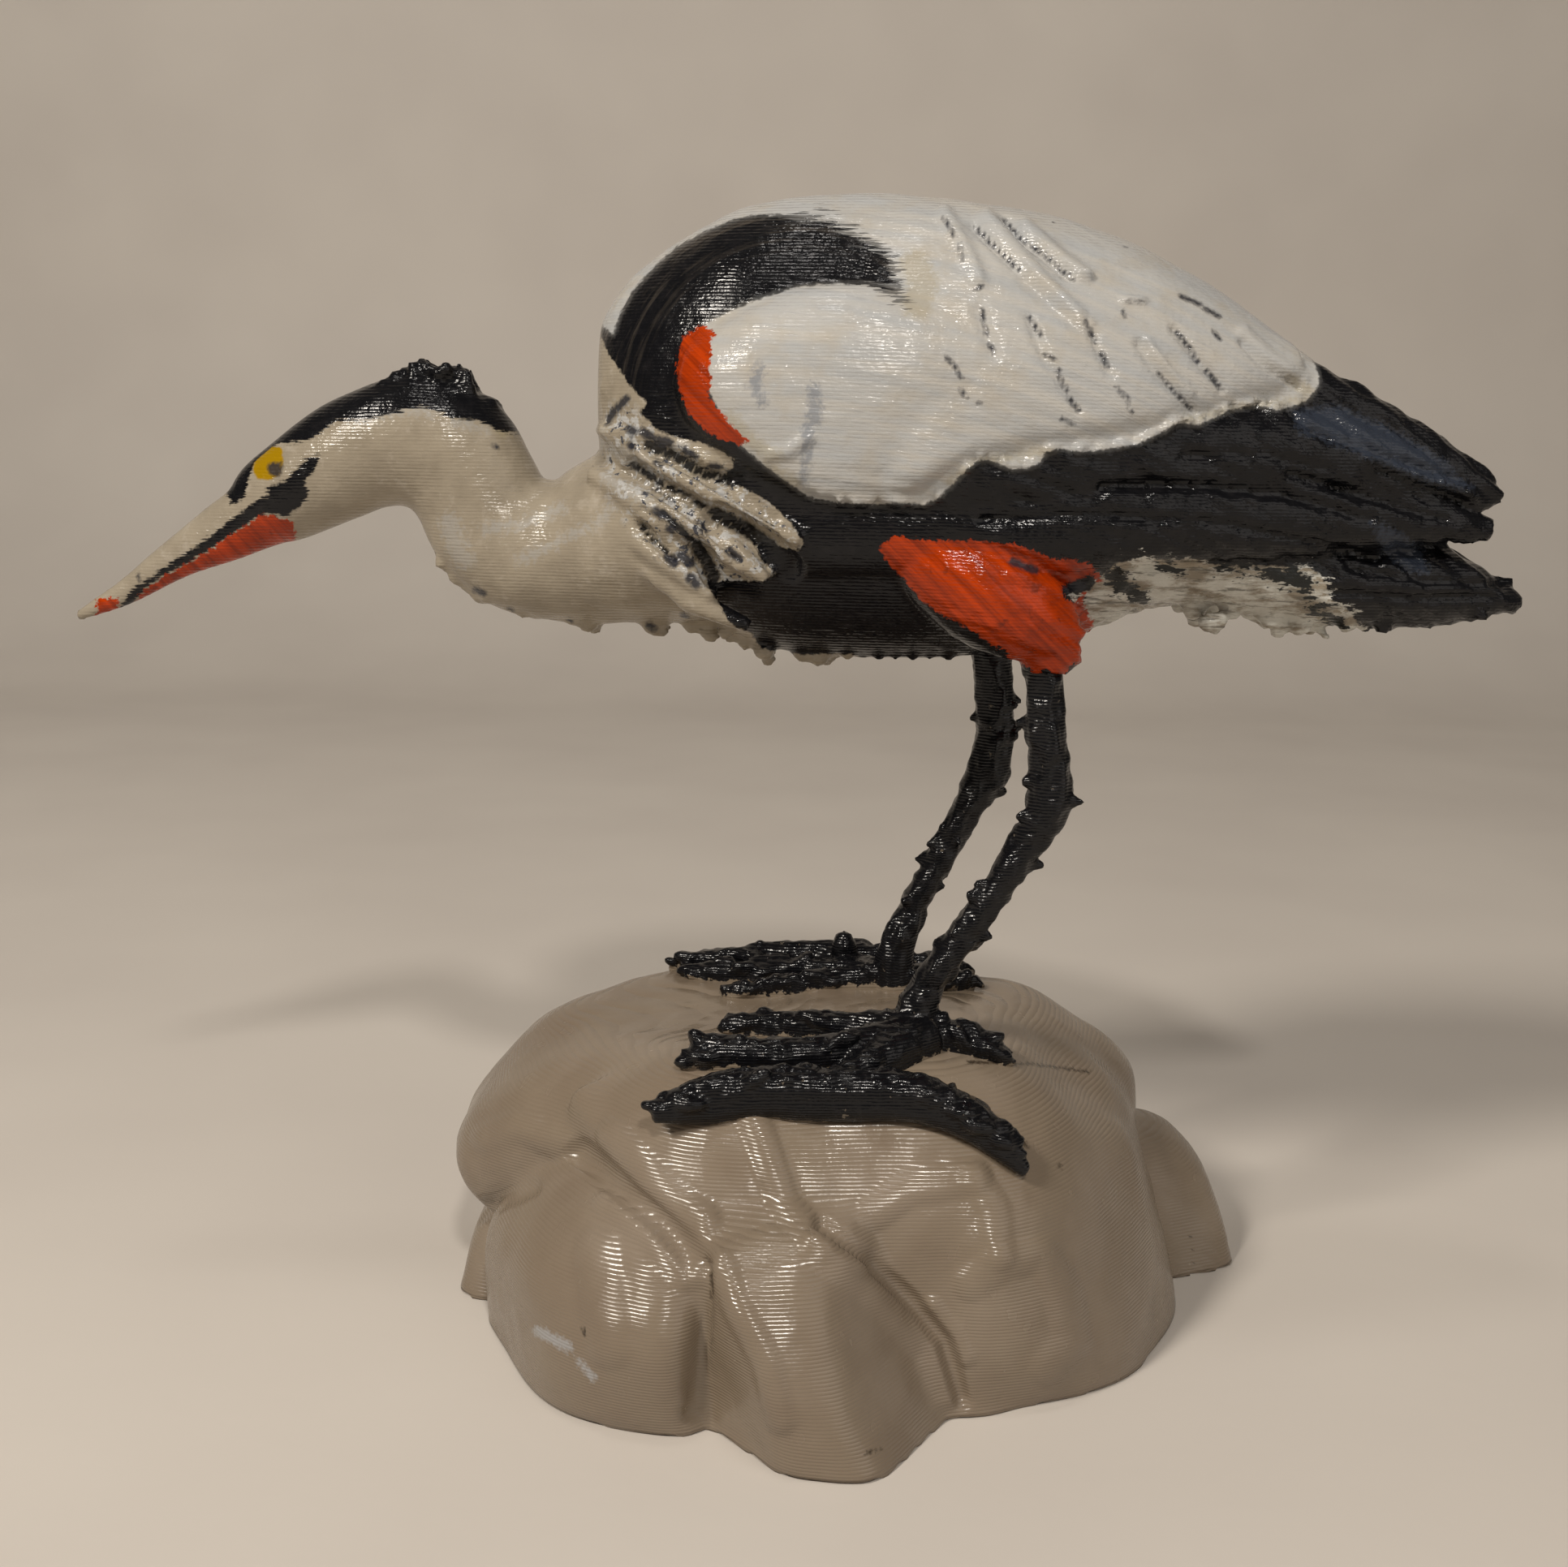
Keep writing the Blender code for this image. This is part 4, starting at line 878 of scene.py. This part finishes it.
def make_heron():
    rng = np.random.default_rng(7)
    form = Form()
    add_body(form)
    add_lumps(form, rng)
    heron = form.object("heron", BODY_VOXEL)
    points, out = coordinates(heron), normals(heron)
    px = pixels(left_side(points))
    flow = px[:, 1] - FEATHER_SLOPE * np.clip(px[:, 0] - FEATHER_BEND, 0, None) ** 2 / FEATHER_RUN
    set_coordinates(heron, points + out * feather_relief(points, px, flow)[:, None])
    points, out = coordinates(heron), normals(heron)
    px = pixels(left_side(points))
    mirrored = np.where(points[:, 1:2] > 0, (1.0, -1.0, 1.0), (1.0, 1.0, 1.0))
    hidden = np.where(share_seen(left_side(points), out * mirrored) >= 1, 0.0, HIDDEN)
    eye = inside(px, YELLOW_EYE)
    outside_eye = 10 * (np.abs(points[:, 1]) - EYE_INSIDE)
    crown = np.minimum(eye + 6, 4 - outside_eye)
    orange = [inside(px, o) for o in (ORANGE_BILL, ORANGE_TIP, ORANGE_WING, ORANGE_THIGH)]
    from_hump = px - HUMP_CENTRE
    paint = {
        "wing": inside(px, WHITE_WING),
        "black": inside(px, BLACK_BODY),
        "cap": np.max((inside(px, CAP), inside(px, FACE_LINE), crown), axis=0),
        "orange": np.minimum(np.max(orange, axis=0), -inside(px, THIGH_HOLE)),
        "scar": inside(px, UNDER_TAIL),
        "yellow": np.minimum(eye, outside_eye),
        "marks": near_lines(px, DARK_MARKS) + MARK_SPREAD - hidden,
        "sheen": np.maximum(inside(px, SHEEN), inside(px, TAIL_SHEEN)),
        "valley": near_lines(px, VALLEYS[:BLACK_VALLEYS]),
        "smear": near_lines(px, SMEARS),
        "dry": DRY_REACH * np.clip(1 - from_line(px, DRY_EDGE) / (2 * DRY_REACH), 0, 1),
        "ring": np.linalg.norm(from_hump, axis=1),
        "turn": np.arctan2(from_hump[:, 1], from_hump[:, 0]),
        "flow": flow,
        "across": px[:, 0],
        "down": px[:, 1],
        "plume": inside(px, PLUME_PATCH),
        "stain": near_lines(px, STAINS),
        "patch": near_lines(px, SCAR_BLACKS),
    }
    for name, values in paint.items():
        store(heron, name, values)
    store_steepness(heron)
    return heron


def facing(turn, tilt):
    """The direction a facet faces, from its turn and tilt in degrees."""
    a, e = math.radians(turn), math.radians(tilt)
    return np.array((math.cos(e) * math.cos(a), math.cos(e) * math.sin(a), math.sin(e)))


def soft_max(values, radius):
    """The largest of the values at each point, with its steps rounded by a radius."""
    top = values.max(axis=0)
    return top + radius * np.log(np.exp((values - top) / radius).sum(axis=0))


def rock_field(points):
    """Below zero inside the boulder."""
    chunks = []
    for _name, rounding, facets in CHUNKS:
        outside = [(points - (x, y, z)) @ facing(turn, tilt) for turn, tilt, x, y, z in facets]
        chunks.append(soft_max(np.array(outside), rounding))
    value = -soft_max(-np.array(chunks), CREASE)
    for wx, wy, wz, phase, height in WAVES:
        value += height * np.sin(points @ np.array((wx, wy, wz)) + phase)
    return value


def outermost(start, direction, reach, samples=36):
    """How far along each ray the boulder's surface is last crossed."""
    within = np.zeros(len(start))
    for t in np.linspace(0, reach, samples):
        within = np.where(rock_field(start + direction * t) < 0, t, within)
    low, high = within, within + reach / (samples - 1)
    for _ in range(HALVINGS):
        middle = (low + high) / 2
        hit = rock_field(start + direction * middle[:, None]) < 0
        low, high = np.where(hit, middle, low), np.where(hit, high, middle)
    return (low + high) / 2


def rock_top(x, y):
    return float(outermost(np.array([[x, y, 0.0]]), np.array([[0.0, 0.0, 1.0]]), ROCK_REACH)[0])


def make_boulder():
    """A grid of turns and rings about an upright line, from the top down to the underside."""
    turn = 2 * math.pi * np.arange(ROCK_TURNS) / ROCK_TURNS
    fall = ROCK_FALL * (np.arange(1, ROCK_RINGS + 1) / ROCK_RINGS)
    a, f = np.meshgrid(turn, fall)
    rays = np.stack((np.sin(f) * np.cos(a), np.sin(f) * np.sin(a), np.cos(f)), axis=-1).reshape(-1, 3)
    rays = np.vstack(([0.0, 0.0, 1.0], rays))
    starts = np.repeat(ROCK_SEED[None, :], len(rays), axis=0)
    points = ROCK_SEED + rays * outermost(starts, rays, ROCK_REACH)[:, None]
    low = points[:, 2] < 0
    shrink = np.where(low, ROCK_SEED[2] / np.maximum(ROCK_SEED[2] - points[:, 2], 1e-6), 1.0)
    points = ROCK_SEED + (points - ROCK_SEED) * shrink[:, None]
    faces = [(0, 1 + k, 1 + (k + 1) % ROCK_TURNS) for k in range(ROCK_TURNS)]
    for i in range(ROCK_RINGS - 1):
        for k in range(ROCK_TURNS):
            m = (k + 1) % ROCK_TURNS
            p, q = 1 + i * ROCK_TURNS, 1 + (i + 1) * ROCK_TURNS
            faces.append((p + k, q + k, q + m, p + m))
    last = 1 + (ROCK_RINGS - 1) * ROCK_TURNS
    faces.append(tuple(last + k for k in reversed(range(ROCK_TURNS))))
    boulder = add_mesh("boulder", points, faces)
    boulder.data.shade_smooth()
    out = normals(boulder)
    height = noise(points, 9.0, 21) * 0.30 + noise(points, 4.0, 22) * 0.14 + noise(points, 1.8, 23) * 0.05
    height *= fade(points[:, 2], 0, 1)
    set_coordinates(boulder, points + out * height[:, None])
    points, out = coordinates(boulder), normals(boulder)
    px = pixels(points)
    seen = share_seen(points, out) * fade(points[:, 2], 0, 2)
    height = np.zeros(len(points))
    for width, rise, *line in ROCK_CARVING:
        height += rise * ridge(px, line, width / 2)
    set_coordinates(boulder, points + out * (height * seen)[:, None])
    hidden = np.where(seen > 0.1, 0.0, HIDDEN)
    store(boulder, "crease_shade_and_crack", near_lines(px, ROCK_CREASE_SHADE_AND_CRACKS) - hidden)
    store(boulder, "scuff", near_lines(px, ROCK_SCUFFS) - hidden)
    store_steepness(boulder)
    return boulder


def ankle(table, side):
    x, y = table[-1][0], side * STANCE / 2
    return np.array((x, y, rock_top(x, y) + ANKLE_LIFT * LEG_DIAMETER))


def add_leg(form, table, side, rng):
    foot = ankle(table, side)
    rows = []
    for x, share, thickness in smooth_rows(table, 8):
        radius = LEG_DIAMETER / 2 * thickness * LEG_SLIMNESS
        y = foot[1] * (1 + LEG_SPLAY * max(share, 0))
        z = foot[2] + (HIP_HEIGHT - foot[2]) * share
        rows.append((x, y, z, radius, radius))
    x, y, z, *radii = rows[0]
    rows.insert(0, (x, y, z + LEG_DIAMETER, *radii))
    x, y, z, *radii = rows[-1]
    rows.append((x, y, z - (ANKLE_LIFT + ROOT) * LEG_DIAMETER, *radii))
    form.tube(rows)
    for _ in range(BEADS_ON_LEG):
        k = rng.integers(1, len(rows) - 1)
        x, y, z, r, _r = rows[k]
        a = rng.random() * 2 * math.pi
        size = 0.4 + 0.5 * rng.random()
        lean = math.atan2(rows[k - 1][0] - rows[k + 1][0], rows[k - 1][2] - rows[k + 1][2])
        place = (x + r * 0.8 * math.cos(a), y + r * 0.8 * math.sin(a), z)
        form.blob(place, (size, size, size * (1.5 + 2.0 * rng.random())), (0, lean, 0))
    for _ in range(SPURS_ON_LEG):
        x, y, z, r, _r = rows[rng.integers(4, len(rows) - 6)]
        a = (math.pi if rng.random() < 0.45 else 0.0) + rng.normal() * 0.6
        reach = r + 0.5 + 0.9 * rng.random()
        tip = np.array((x + reach * math.cos(a), y + reach * math.sin(a), z + rng.normal() * 0.6))
        root = np.array((x, y, z))
        form.tube([(*root, 1.6, 1.0), (*(root * 0.35 + tip * 0.65), 0.8, 0.5), (*tip, 0.26, 0.26)], 10)


def add_foot(form, table, side, spread, stout, rng):
    foot = ankle(table, side)
    ledge = foot[2] - ANKLE_LIFT * LEG_DIAMETER
    for rows in TOES:
        line = []
        for x, out, thickness, lift, drop in smooth_rows(rows, 6):
            px, py = foot[0] + x - ANKLE_X, foot[1] + side * out * spread
            ground = max(rock_top(px, py), ledge - drop)
            radius = max(TOE_DIAMETER / 2 * thickness * stout * TOE_SLIMNESS, THINNEST_CLAW)
            rise = lift * stout ** 2 * TOE_DIAMETER * TOE_SLIMNESS
            line.append((px, py, ground + rise, radius, radius))
        form.tube(line, 20)
        form.tube([(x, y, z - SKIRT * r, r, r) for x, y, z, r, _r in line], 20)
        for _ in range(len(line)):
            x, y, z, r, _r = line[rng.integers(0, len(line))]
            size = min(0.5 + 0.8 * rng.random(), r * 0.8 + 0.15)
            a = rng.random() * math.pi
            place = (x + rng.normal() * 0.4, y + r * 0.75 * math.cos(a), z + r * 0.75 * math.sin(a))
            form.blob(place, (size * 1.6, size, size * 0.7), (rng.normal() * 0.5, rng.normal() * 0.4, 0))


def make_legs():
    rng = np.random.default_rng(11)
    form = Form()
    for table, side, spread, stout in ((LEFT_LEG, -1, 1.0, 1.0),
                                       (RIGHT_LEG, 1, RIGHT_SPREAD, RIGHT_TOES)):
        add_leg(form, table, side, rng)
        add_foot(form, table, side, spread, stout, rng)
    form.blob(on_plane(*FAR_LUMP, STANCE / 2 + 4.0), (1.5, 1.4, 1.9))
    legs = form.object("legs_and_feet", LEG_VOXEL)
    points, out = coordinates(legs), normals(legs)
    ridges = 0.5 - np.abs(noise(points * (1.0, 1.0, 0.6), 1.5, 34))
    height = ridges * 0.36 + noise(points, 1.1, 31) * 0.12 + noise(points, 0.6, 32) * 0.07
    on_foot = points[:, 2] < rock_top(ANKLE_X, 0.0) + LEG_DIAMETER
    height *= np.where(on_foot, np.clip(out[:, 2] + 0.3, 0.25, 1), 1.0)
    set_coordinates(legs, points + out * height[:, None])
    store(legs, "ground", height_above_rock(coordinates(legs)))
    store_steepness(legs)
    return legs


def height_above_rock(points):
    """Height over the boulder's surface, from a grid of heights around the feet."""
    span = np.arange(-GRID_REACH, GRID_REACH + GRID_STEP, GRID_STEP)
    x, y = np.meshgrid(span, span, indexing="ij")
    start = np.stack((x.ravel(), y.ravel(), x.ravel() * 0), axis=1)
    up = np.repeat([[0.0, 0.0, 1.0]], len(start), axis=0)
    rock = outermost(start, up, ROCK_REACH / 2).reshape(x.shape)
    cell = np.clip(np.rint((points[:, :2] + GRID_REACH) / GRID_STEP).astype(int), 0, len(span) - 1)
    return points[:, 2] - rock[cell[:, 0], cell[:, 1]]


class Paint:
    """A material's node tree, built by short calls that return sockets."""

    def __init__(self, name):
        self.material = bpy.data.materials.new(name)
        self.material.use_nodes = True
        self.tree = self.material.node_tree
        self.shader = self.tree.nodes["Principled BSDF"]
        self.place = self.tree.nodes.new("ShaderNodeTexCoord").outputs["Object"]

    def link(self, value, socket):
        if isinstance(value, bpy.types.NodeSocket):
            self.tree.links.new(value, socket)
        else:
            socket.default_value = value

    def node(self, kind, *values):
        """A node whose first inputs take the values."""
        node = self.tree.nodes.new(kind)
        for value, socket in zip(values, node.inputs):
            self.link(value, socket)
        return node

    def math(self, operation, a, b=0.0, c=0.0):
        node = self.node("ShaderNodeMath", a, b, c)
        node.operation = operation
        return node.outputs[0]

    def times(self, a, b):
        return self.math("MULTIPLY", a, b)

    def swing(self, value, reach):
        """A value from 0 to 1, made to run from minus to plus half the reach."""
        return self.math("MULTIPLY_ADD", value, reach, -reach / 2)

    def attribute(self, name):
        node = self.tree.nodes.new("ShaderNodeAttribute")
        node.attribute_name = name
        return node.outputs["Fac"]

    def vector(self, x, y, z):
        return self.node("ShaderNodeCombineXYZ", x, y, z).outputs[0]

    def stretched(self, x, share, y, z=0.0):
        """A place for noise that is drawn out along x."""
        return self.vector(self.times(x, share), y, z)

    def noise(self, size, detail=2.0, rough=0.5, low=0.3, high=0.7, at=None):
        """Noise stretched to run from 0 to 1, over size millimetres or units of at."""
        node = self.tree.nodes.new("ShaderNodeTexNoise")
        self.tree.links.new(at or self.place, node.inputs["Vector"])
        node.inputs["Scale"].default_value = 1 / size if at else 1 / (size * MM)
        node.inputs["Detail"].default_value = detail
        node.inputs["Roughness"].default_value = rough
        return self.spread(node.outputs["Fac"], low, high)

    def spread(self, value, low, high, to_low=0.0, to_high=1.0):
        return self.node("ShaderNodeMapRange", value, low, high, to_low, to_high).outputs[0]

    def mix(self, share, a, b):
        node = self.tree.nodes.new("ShaderNodeMix")
        node.data_type = "RGBA"
        self.link(share, node.inputs["Factor"])
        self.link(a, node.inputs["A"])
        self.link(b, node.inputs["B"])
        return node.outputs["Result"]

    def over(self, under, color, cover, share=1.0):
        """A colour laid over another where the cover is 1, thinned to a share."""
        if share < 1:
            cover = self.times(cover, share)
        return self.mix(cover, under, color)

    def region(self, name, rag, soft=1.2, extra=None):
        """A painted region's cover, from 0 to 1, with a border that is ragged by some pixels."""
        ragged = self.swing(self.noise(0.5, 3.0, 0.6), rag)
        edge = self.math("ADD", self.attribute(name), ragged)
        if extra:
            edge = self.math("ADD", edge, extra)
        return self.spread(edge, -soft, soft)

    def layers(self):
        """Height of the print's layer lines, from 0 to 1."""
        place = self.node("ShaderNodeSeparateXYZ", self.place)
        wobble = self.times(self.noise(6.0), 0.06 * MM)
        z = self.math("ADD", place.outputs["Z"], wobble)
        wave = self.math("SINE", self.times(z, math.pi / (LAYER_HEIGHT * MM)))
        slope = self.math("MAXIMUM", self.attribute("steep"), FLATTEST)
        return self.math("DIVIDE", self.math("ABSOLUTE", wave), slope)

    def bump(self, height, distance, strength=1.0, under=None):
        node = self.tree.nodes.new("ShaderNodeBump")
        node.inputs["Distance"].default_value = distance * MM
        node.inputs["Strength"].default_value = strength
        self.tree.links.new(height, node.inputs["Height"])
        if under:
            self.tree.links.new(under, node.inputs["Normal"])
        return node.outputs[0]

    def roughness(self, size, low, high):
        return self.spread(self.noise(size), 0.0, 1.0, low, high)

    def finish(self, color, roughness, normal, specular=0.4):
        self.link(color, self.shader.inputs["Base Color"])
        self.link(roughness, self.shader.inputs["Roughness"])
        self.tree.links.new(normal, self.shader.inputs["Normal"])
        self.shader.inputs["Specular IOR Level"].default_value = specular
        return self.material


CREAM = (0.312, 0.270, 0.205, 1)
CREAM_SHADE = (0.242, 0.207, 0.155, 1)
CREAM_LIGHT = (0.400, 0.358, 0.298, 1)
WHITE = (0.420, 0.405, 0.375, 1)
WHITE_WARM = (0.360, 0.315, 0.245, 1)
WHITE_COOL = (0.365, 0.370, 0.368, 1)
GREY_STROKE = (0.30, 0.30, 0.30, 1)
SMEAR = (0.38, 0.41, 0.44, 1)
SMEAR_GREY = (0.19, 0.205, 0.23, 1)
BLACK = (0.004, 0.004, 0.005, 1)
BLACK_WORN = (0.011, 0.010, 0.011, 1)
GREY_BROWN = (0.060, 0.050, 0.040, 1)
# painted reflection on the glossy black
PAINTED_SHEEN_BLUE_GREY = (0.034, 0.042, 0.060, 1)
MARK = (0.020, 0.021, 0.028, 1)
PLUME_PALE = (0.400, 0.395, 0.380, 1)
PLUME_DARK = (0.055, 0.058, 0.070, 1)
STAIN = (0.30, 0.255, 0.160, 1)
FLECK = (0.110, 0.092, 0.070, 1)
ORANGE = (0.42, 0.038, 0.001, 1)
ORANGE_DEEP = (0.22, 0.020, 0.001, 1)
ORANGE_DARK = (0.08, 0.012, 0.004, 1)
YELLOW = (0.290, 0.168, 0.001, 1)
SCAR_DARK = (0.016, 0.017, 0.016, 1)
SCAR_GREY = (0.105, 0.098, 0.080, 1)
SCAR_TAN = (0.24, 0.205, 0.155, 1)
SCAR_PALE = (0.54, 0.53, 0.48, 1)
TAUPE = (0.205, 0.162, 0.116, 1)
TAUPE_DARK = (0.185, 0.142, 0.102, 1)
TAUPE_PALE = (0.27, 0.22, 0.17, 1)
SPECK = (0.02, 0.018, 0.016, 1)
# painted shade in the front crease, and dark cracks, hairs and specks
CREASE_SHADE_AND_CRACK = (0.03, 0.02, 0.012, 1)
FLOOR = (0.60, 0.555, 0.50, 1)
FLOOR_SHADE = (0.56, 0.515, 0.465, 1)


def heron_paint():
    p = Paint("painted_heron")
    across, down, ring = p.attribute("across"), p.attribute("down"), p.attribute("ring")
    dry, plume = p.attribute("dry"), p.spread(p.attribute("plume"), -4.0, 14.0)
    strokes_at = p.stretched(across, 0.07, p.attribute("flow"))
    strokes = p.noise(4.0, 3.0, 0.6, 0.32, 0.68, strokes_at)
    dragged = p.noise(2.6, 2.0, 0.6, at=p.stretched(across, 0.06, down))

    cream = p.over(CREAM, CREAM_SHADE, p.noise(4.0, 3.0, 0.55))
    cream = p.over(cream, CREAM_LIGHT, p.noise(2.5, 4.0, 0.7, 0.55, 0.72), 0.6)
    cream = p.over(cream, SMEAR, p.region("smear", 16.0, 5.0), 0.25)
    cream = p.over(cream, PLUME_PALE, p.times(plume, p.noise(1.3, 3.0, 0.65, 0.52, 0.60)))
    cream = p.over(cream, PLUME_DARK, p.times(plume, p.noise(1.0, 3.0, 0.65, 0.60, 0.64)))
    cream = p.over(cream, STAIN, p.region("stain", 9.0, 4.0), 0.6)

    rings_at = p.vector(ring, p.times(p.attribute("turn"), 12.0), 0.0)
    rings = p.noise(7.0, 4.0, 0.65, 0.50, 0.68, rings_at)
    hump = p.times(p.spread(ring, *HUMP_EDGE), p.spread(down, *HUMP_FOOT))
    worn = p.times(p.times(rings, hump), p.spread(ring, *HUMP_WORN))
    black = p.over(BLACK, BLACK_WORN, p.noise(1.2, 3.0, 0.6, 0.5, 0.8), 0.8)
    black = p.over(black, GREY_BROWN, worn, 0.85)
    # painted reflection: the blue-grey sheen laid over the black
    black = p.over(black, PAINTED_SHEEN_BLUE_GREY, p.region("sheen", 12.0, 5.0), 0.7)

    white = p.over(WHITE, WHITE_COOL, p.noise(16.0, 2.0, 0.5, 0.35, 0.65, strokes_at))
    white = p.over(white, WHITE_WARM, p.noise(5.0, 3.0, 0.6, 0.50, 0.75), 0.6)
    white = p.over(white, GREY_STROKE, p.noise(3.0, 3.0, 0.6, 0.56, 0.72, strokes_at), 0.5)
    white = p.over(white, SMEAR_GREY, p.region("smear", 12.0, 4.0), 0.7)
    white = p.over(white, STAIN, p.region("stain", 9.0, 5.0), 0.45)

    scar_at = p.stretched(across, 0.3, down)
    ragged = p.swing(p.noise(7.0, 4.0, 0.65, at=scar_at), 30.0)
    thin = p.noise(5.0, 4.0, 0.7, 0.56, 0.64, p.stretched(across, 0.12, down, 9.0))
    scar = p.over(SCAR_TAN, SCAR_PALE, p.noise(14.0, 5.0, 0.65, 0.40, 0.54, scar_at))
    scar = p.over(scar, SCAR_GREY, thin, 0.8)
    scar = p.over(scar, SCAR_DARK, p.region("patch", 6.0, 2.0, ragged))

    slant = p.stretched(p.math("ADD", across, down), 0.05, p.math("SUBTRACT", down, across))
    orange = p.over(ORANGE, ORANGE_DEEP, p.noise(14.0, 4.0, 0.65, 0.38, 0.62, slant))
    orange = p.over(orange, ORANGE_DARK, p.noise(1.6, 3.0, 0.6, 0.62, 0.70), 0.5)

    color = p.over(cream, black, p.region("black", 3.5))
    color = p.over(color, black, p.region("valley", 3.0, 2.0), 0.95)
    film = p.times(p.math("SUBTRACT", strokes, 0.25), dry)
    color = p.over(color, white, p.region("wing", 3.0, 6.0, film), 0.35)
    drag = p.times(p.math("SUBTRACT", dragged, 0.5), dry)
    color = p.over(color, white, p.region("wing", 3.0, 1.2, drag))
    color = p.over(color, scar, p.region("scar", 8.0, 2.0, ragged))
    color = p.over(color, black, p.region("cap", 3.0, 1.2, p.swing(dragged, 7.0)))
    color = p.over(color, orange, p.region("orange", 7.0))
    color = p.over(color, YELLOW, p.region("yellow", 1.5))
    color = p.over(color, MARK, p.region("marks", 2.6, 2.2), 0.92)
    lines = p.bump(p.layers(), 0.022, 0.85)
    brush = p.bump(strokes, 0.040, 0.5, lines)
    fine = p.bump(p.noise(1.3, 3.0, 0.6), 0.08, 0.6, brush)
    return p.finish(color, p.roughness(1.5, 0.11, 0.22), fine, 0.28)


def leg_paint():
    p = Paint("black_legs")
    color = p.over(BLACK, BLACK_WORN, p.noise(1.0, 3.0, 0.6, 0.55, 0.8))
    color = p.over(color, FLECK, p.noise(1.3, 3.0, 0.6, 0.69, 0.72))
    height = p.swing(p.noise(1.0, 3.0, 0.6), 1.1)
    color = p.over(color, TAUPE, p.spread(p.math("ADD", p.attribute("ground"), height), 0.45, 0.30))
    lines = p.bump(p.layers(), 0.035, 0.8)
    fine = p.bump(p.noise(1.0, 3.0, 0.6), 0.06, 0.6, lines)
    return p.finish(color, p.roughness(1.0, 0.12, 0.28), fine, 0.30)


def boulder_paint():
    p = Paint("taupe_boulder")
    color = p.over(TAUPE, TAUPE_DARK, p.noise(9.0, 3.0, 0.55))
    color = p.over(color, TAUPE_PALE, p.noise(14.0, 3.0, 0.5, 0.5, 0.75), 0.6)
    color = p.over(color, SPECK, p.noise(0.7, 2.0, 0.5, 0.80, 0.82))
    # painted shade down the front crease, and dark cracks, hairs and specks
    color = p.over(color, CREASE_SHADE_AND_CRACK, p.region("crease_shade_and_crack", 4.0, 1.5), 0.85)
    color = p.over(color, SMEAR, p.region("scuff", 7.0, 3.0), 0.5)
    lines = p.bump(p.layers(), 0.036, 0.9)
    fine = p.bump(p.noise(1.6, 3.0, 0.6), 0.05, 0.5, lines)
    return p.finish(color, p.roughness(3.0, 0.16, 0.28), fine, 0.5)


def make_stage():
    """A pale floor that curves up into a wall well behind the figurine."""
    profile = [(FLOOR_FRONT, 0.0), (FLOOR_FLAT, 0.0)]
    for k in range(CURVE_STEPS + 1):
        a = math.pi / 2 * k / CURVE_STEPS
        profile.append((WALL_START + WALL_CURVE * math.sin(a), WALL_CURVE - WALL_CURVE * math.cos(a)))
    profile.append((WALL_START + WALL_CURVE, WALL_TOP))
    points = [(x, y, z) for y, z in profile for x in (-HALF_STAGE, HALF_STAGE)]
    faces = [(2 * i, 2 * i + 1, 2 * i + 3, 2 * i + 2) for i in range(len(profile) - 1)]
    floor = add_mesh("floor", points, faces)
    floor.data.shade_smooth()
    p = Paint("pale_floor")
    color = p.over(FLOOR, FLOOR_SHADE, p.noise(60.0))
    floor.data.materials.append(p.finish(color, 0.6, p.bump(p.noise(3.0), 0.05, 0.2)))


def make_lights():
    for name, place, power, size, color in LAMPS:
        data = bpy.data.lights.new(name, "AREA")
        data.energy, data.color = power, color
        data.shape, data.size = "DISK", size
        lamp = add_object(name, data)
        lamp.location = Vector(place) * MM
        ahead = Vector(LAMP_AIM) - Vector(place)
        lamp.rotation_euler = ahead.to_track_quat("-Z", "Y").to_euler()
    world = bpy.data.worlds.new("room")
    world.use_nodes = True
    background = world.node_tree.nodes["Background"]
    background.inputs["Color"].default_value = ROOM_COLOR
    background.inputs["Strength"].default_value = ROOM_STRENGTH
    bpy.context.scene.world = world


def make_camera():
    data = bpy.data.cameras.new("camera")
    data.sensor_width = SENSOR
    data.lens = FOCAL * SENSOR / IMAGE[0]
    data.clip_start, data.clip_end = 0.01, 10.0
    camera = add_object("camera", data)
    camera.location = Vector(EYE) * MM
    ahead = Vector((0.0, math.cos(PITCH), -math.sin(PITCH)))
    upright = ahead.to_track_quat("-Z", "Y").to_matrix()
    camera.rotation_euler = (upright @ Matrix.Rotation(ROLL, 3, "Z")).to_euler()
    bpy.context.scene.camera = camera


def main():
    pieces = ((make_heron(), heron_paint()), (make_legs(), leg_paint()),
              (make_boulder(), boulder_paint()))
    for piece, material in pieces:
        piece.data.materials.clear()
        piece.data.materials.append(material)
        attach(piece, "root")
        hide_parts(NODE)
        print(piece.name, sum(len(f.vertices) - 2 for f in piece.data.polygons), "triangles")
    make_stage()
    make_lights()
    make_camera()
    scene = bpy.context.scene
    scene.view_settings.view_transform = "Standard"
    scene.view_settings.look = "None"


main()
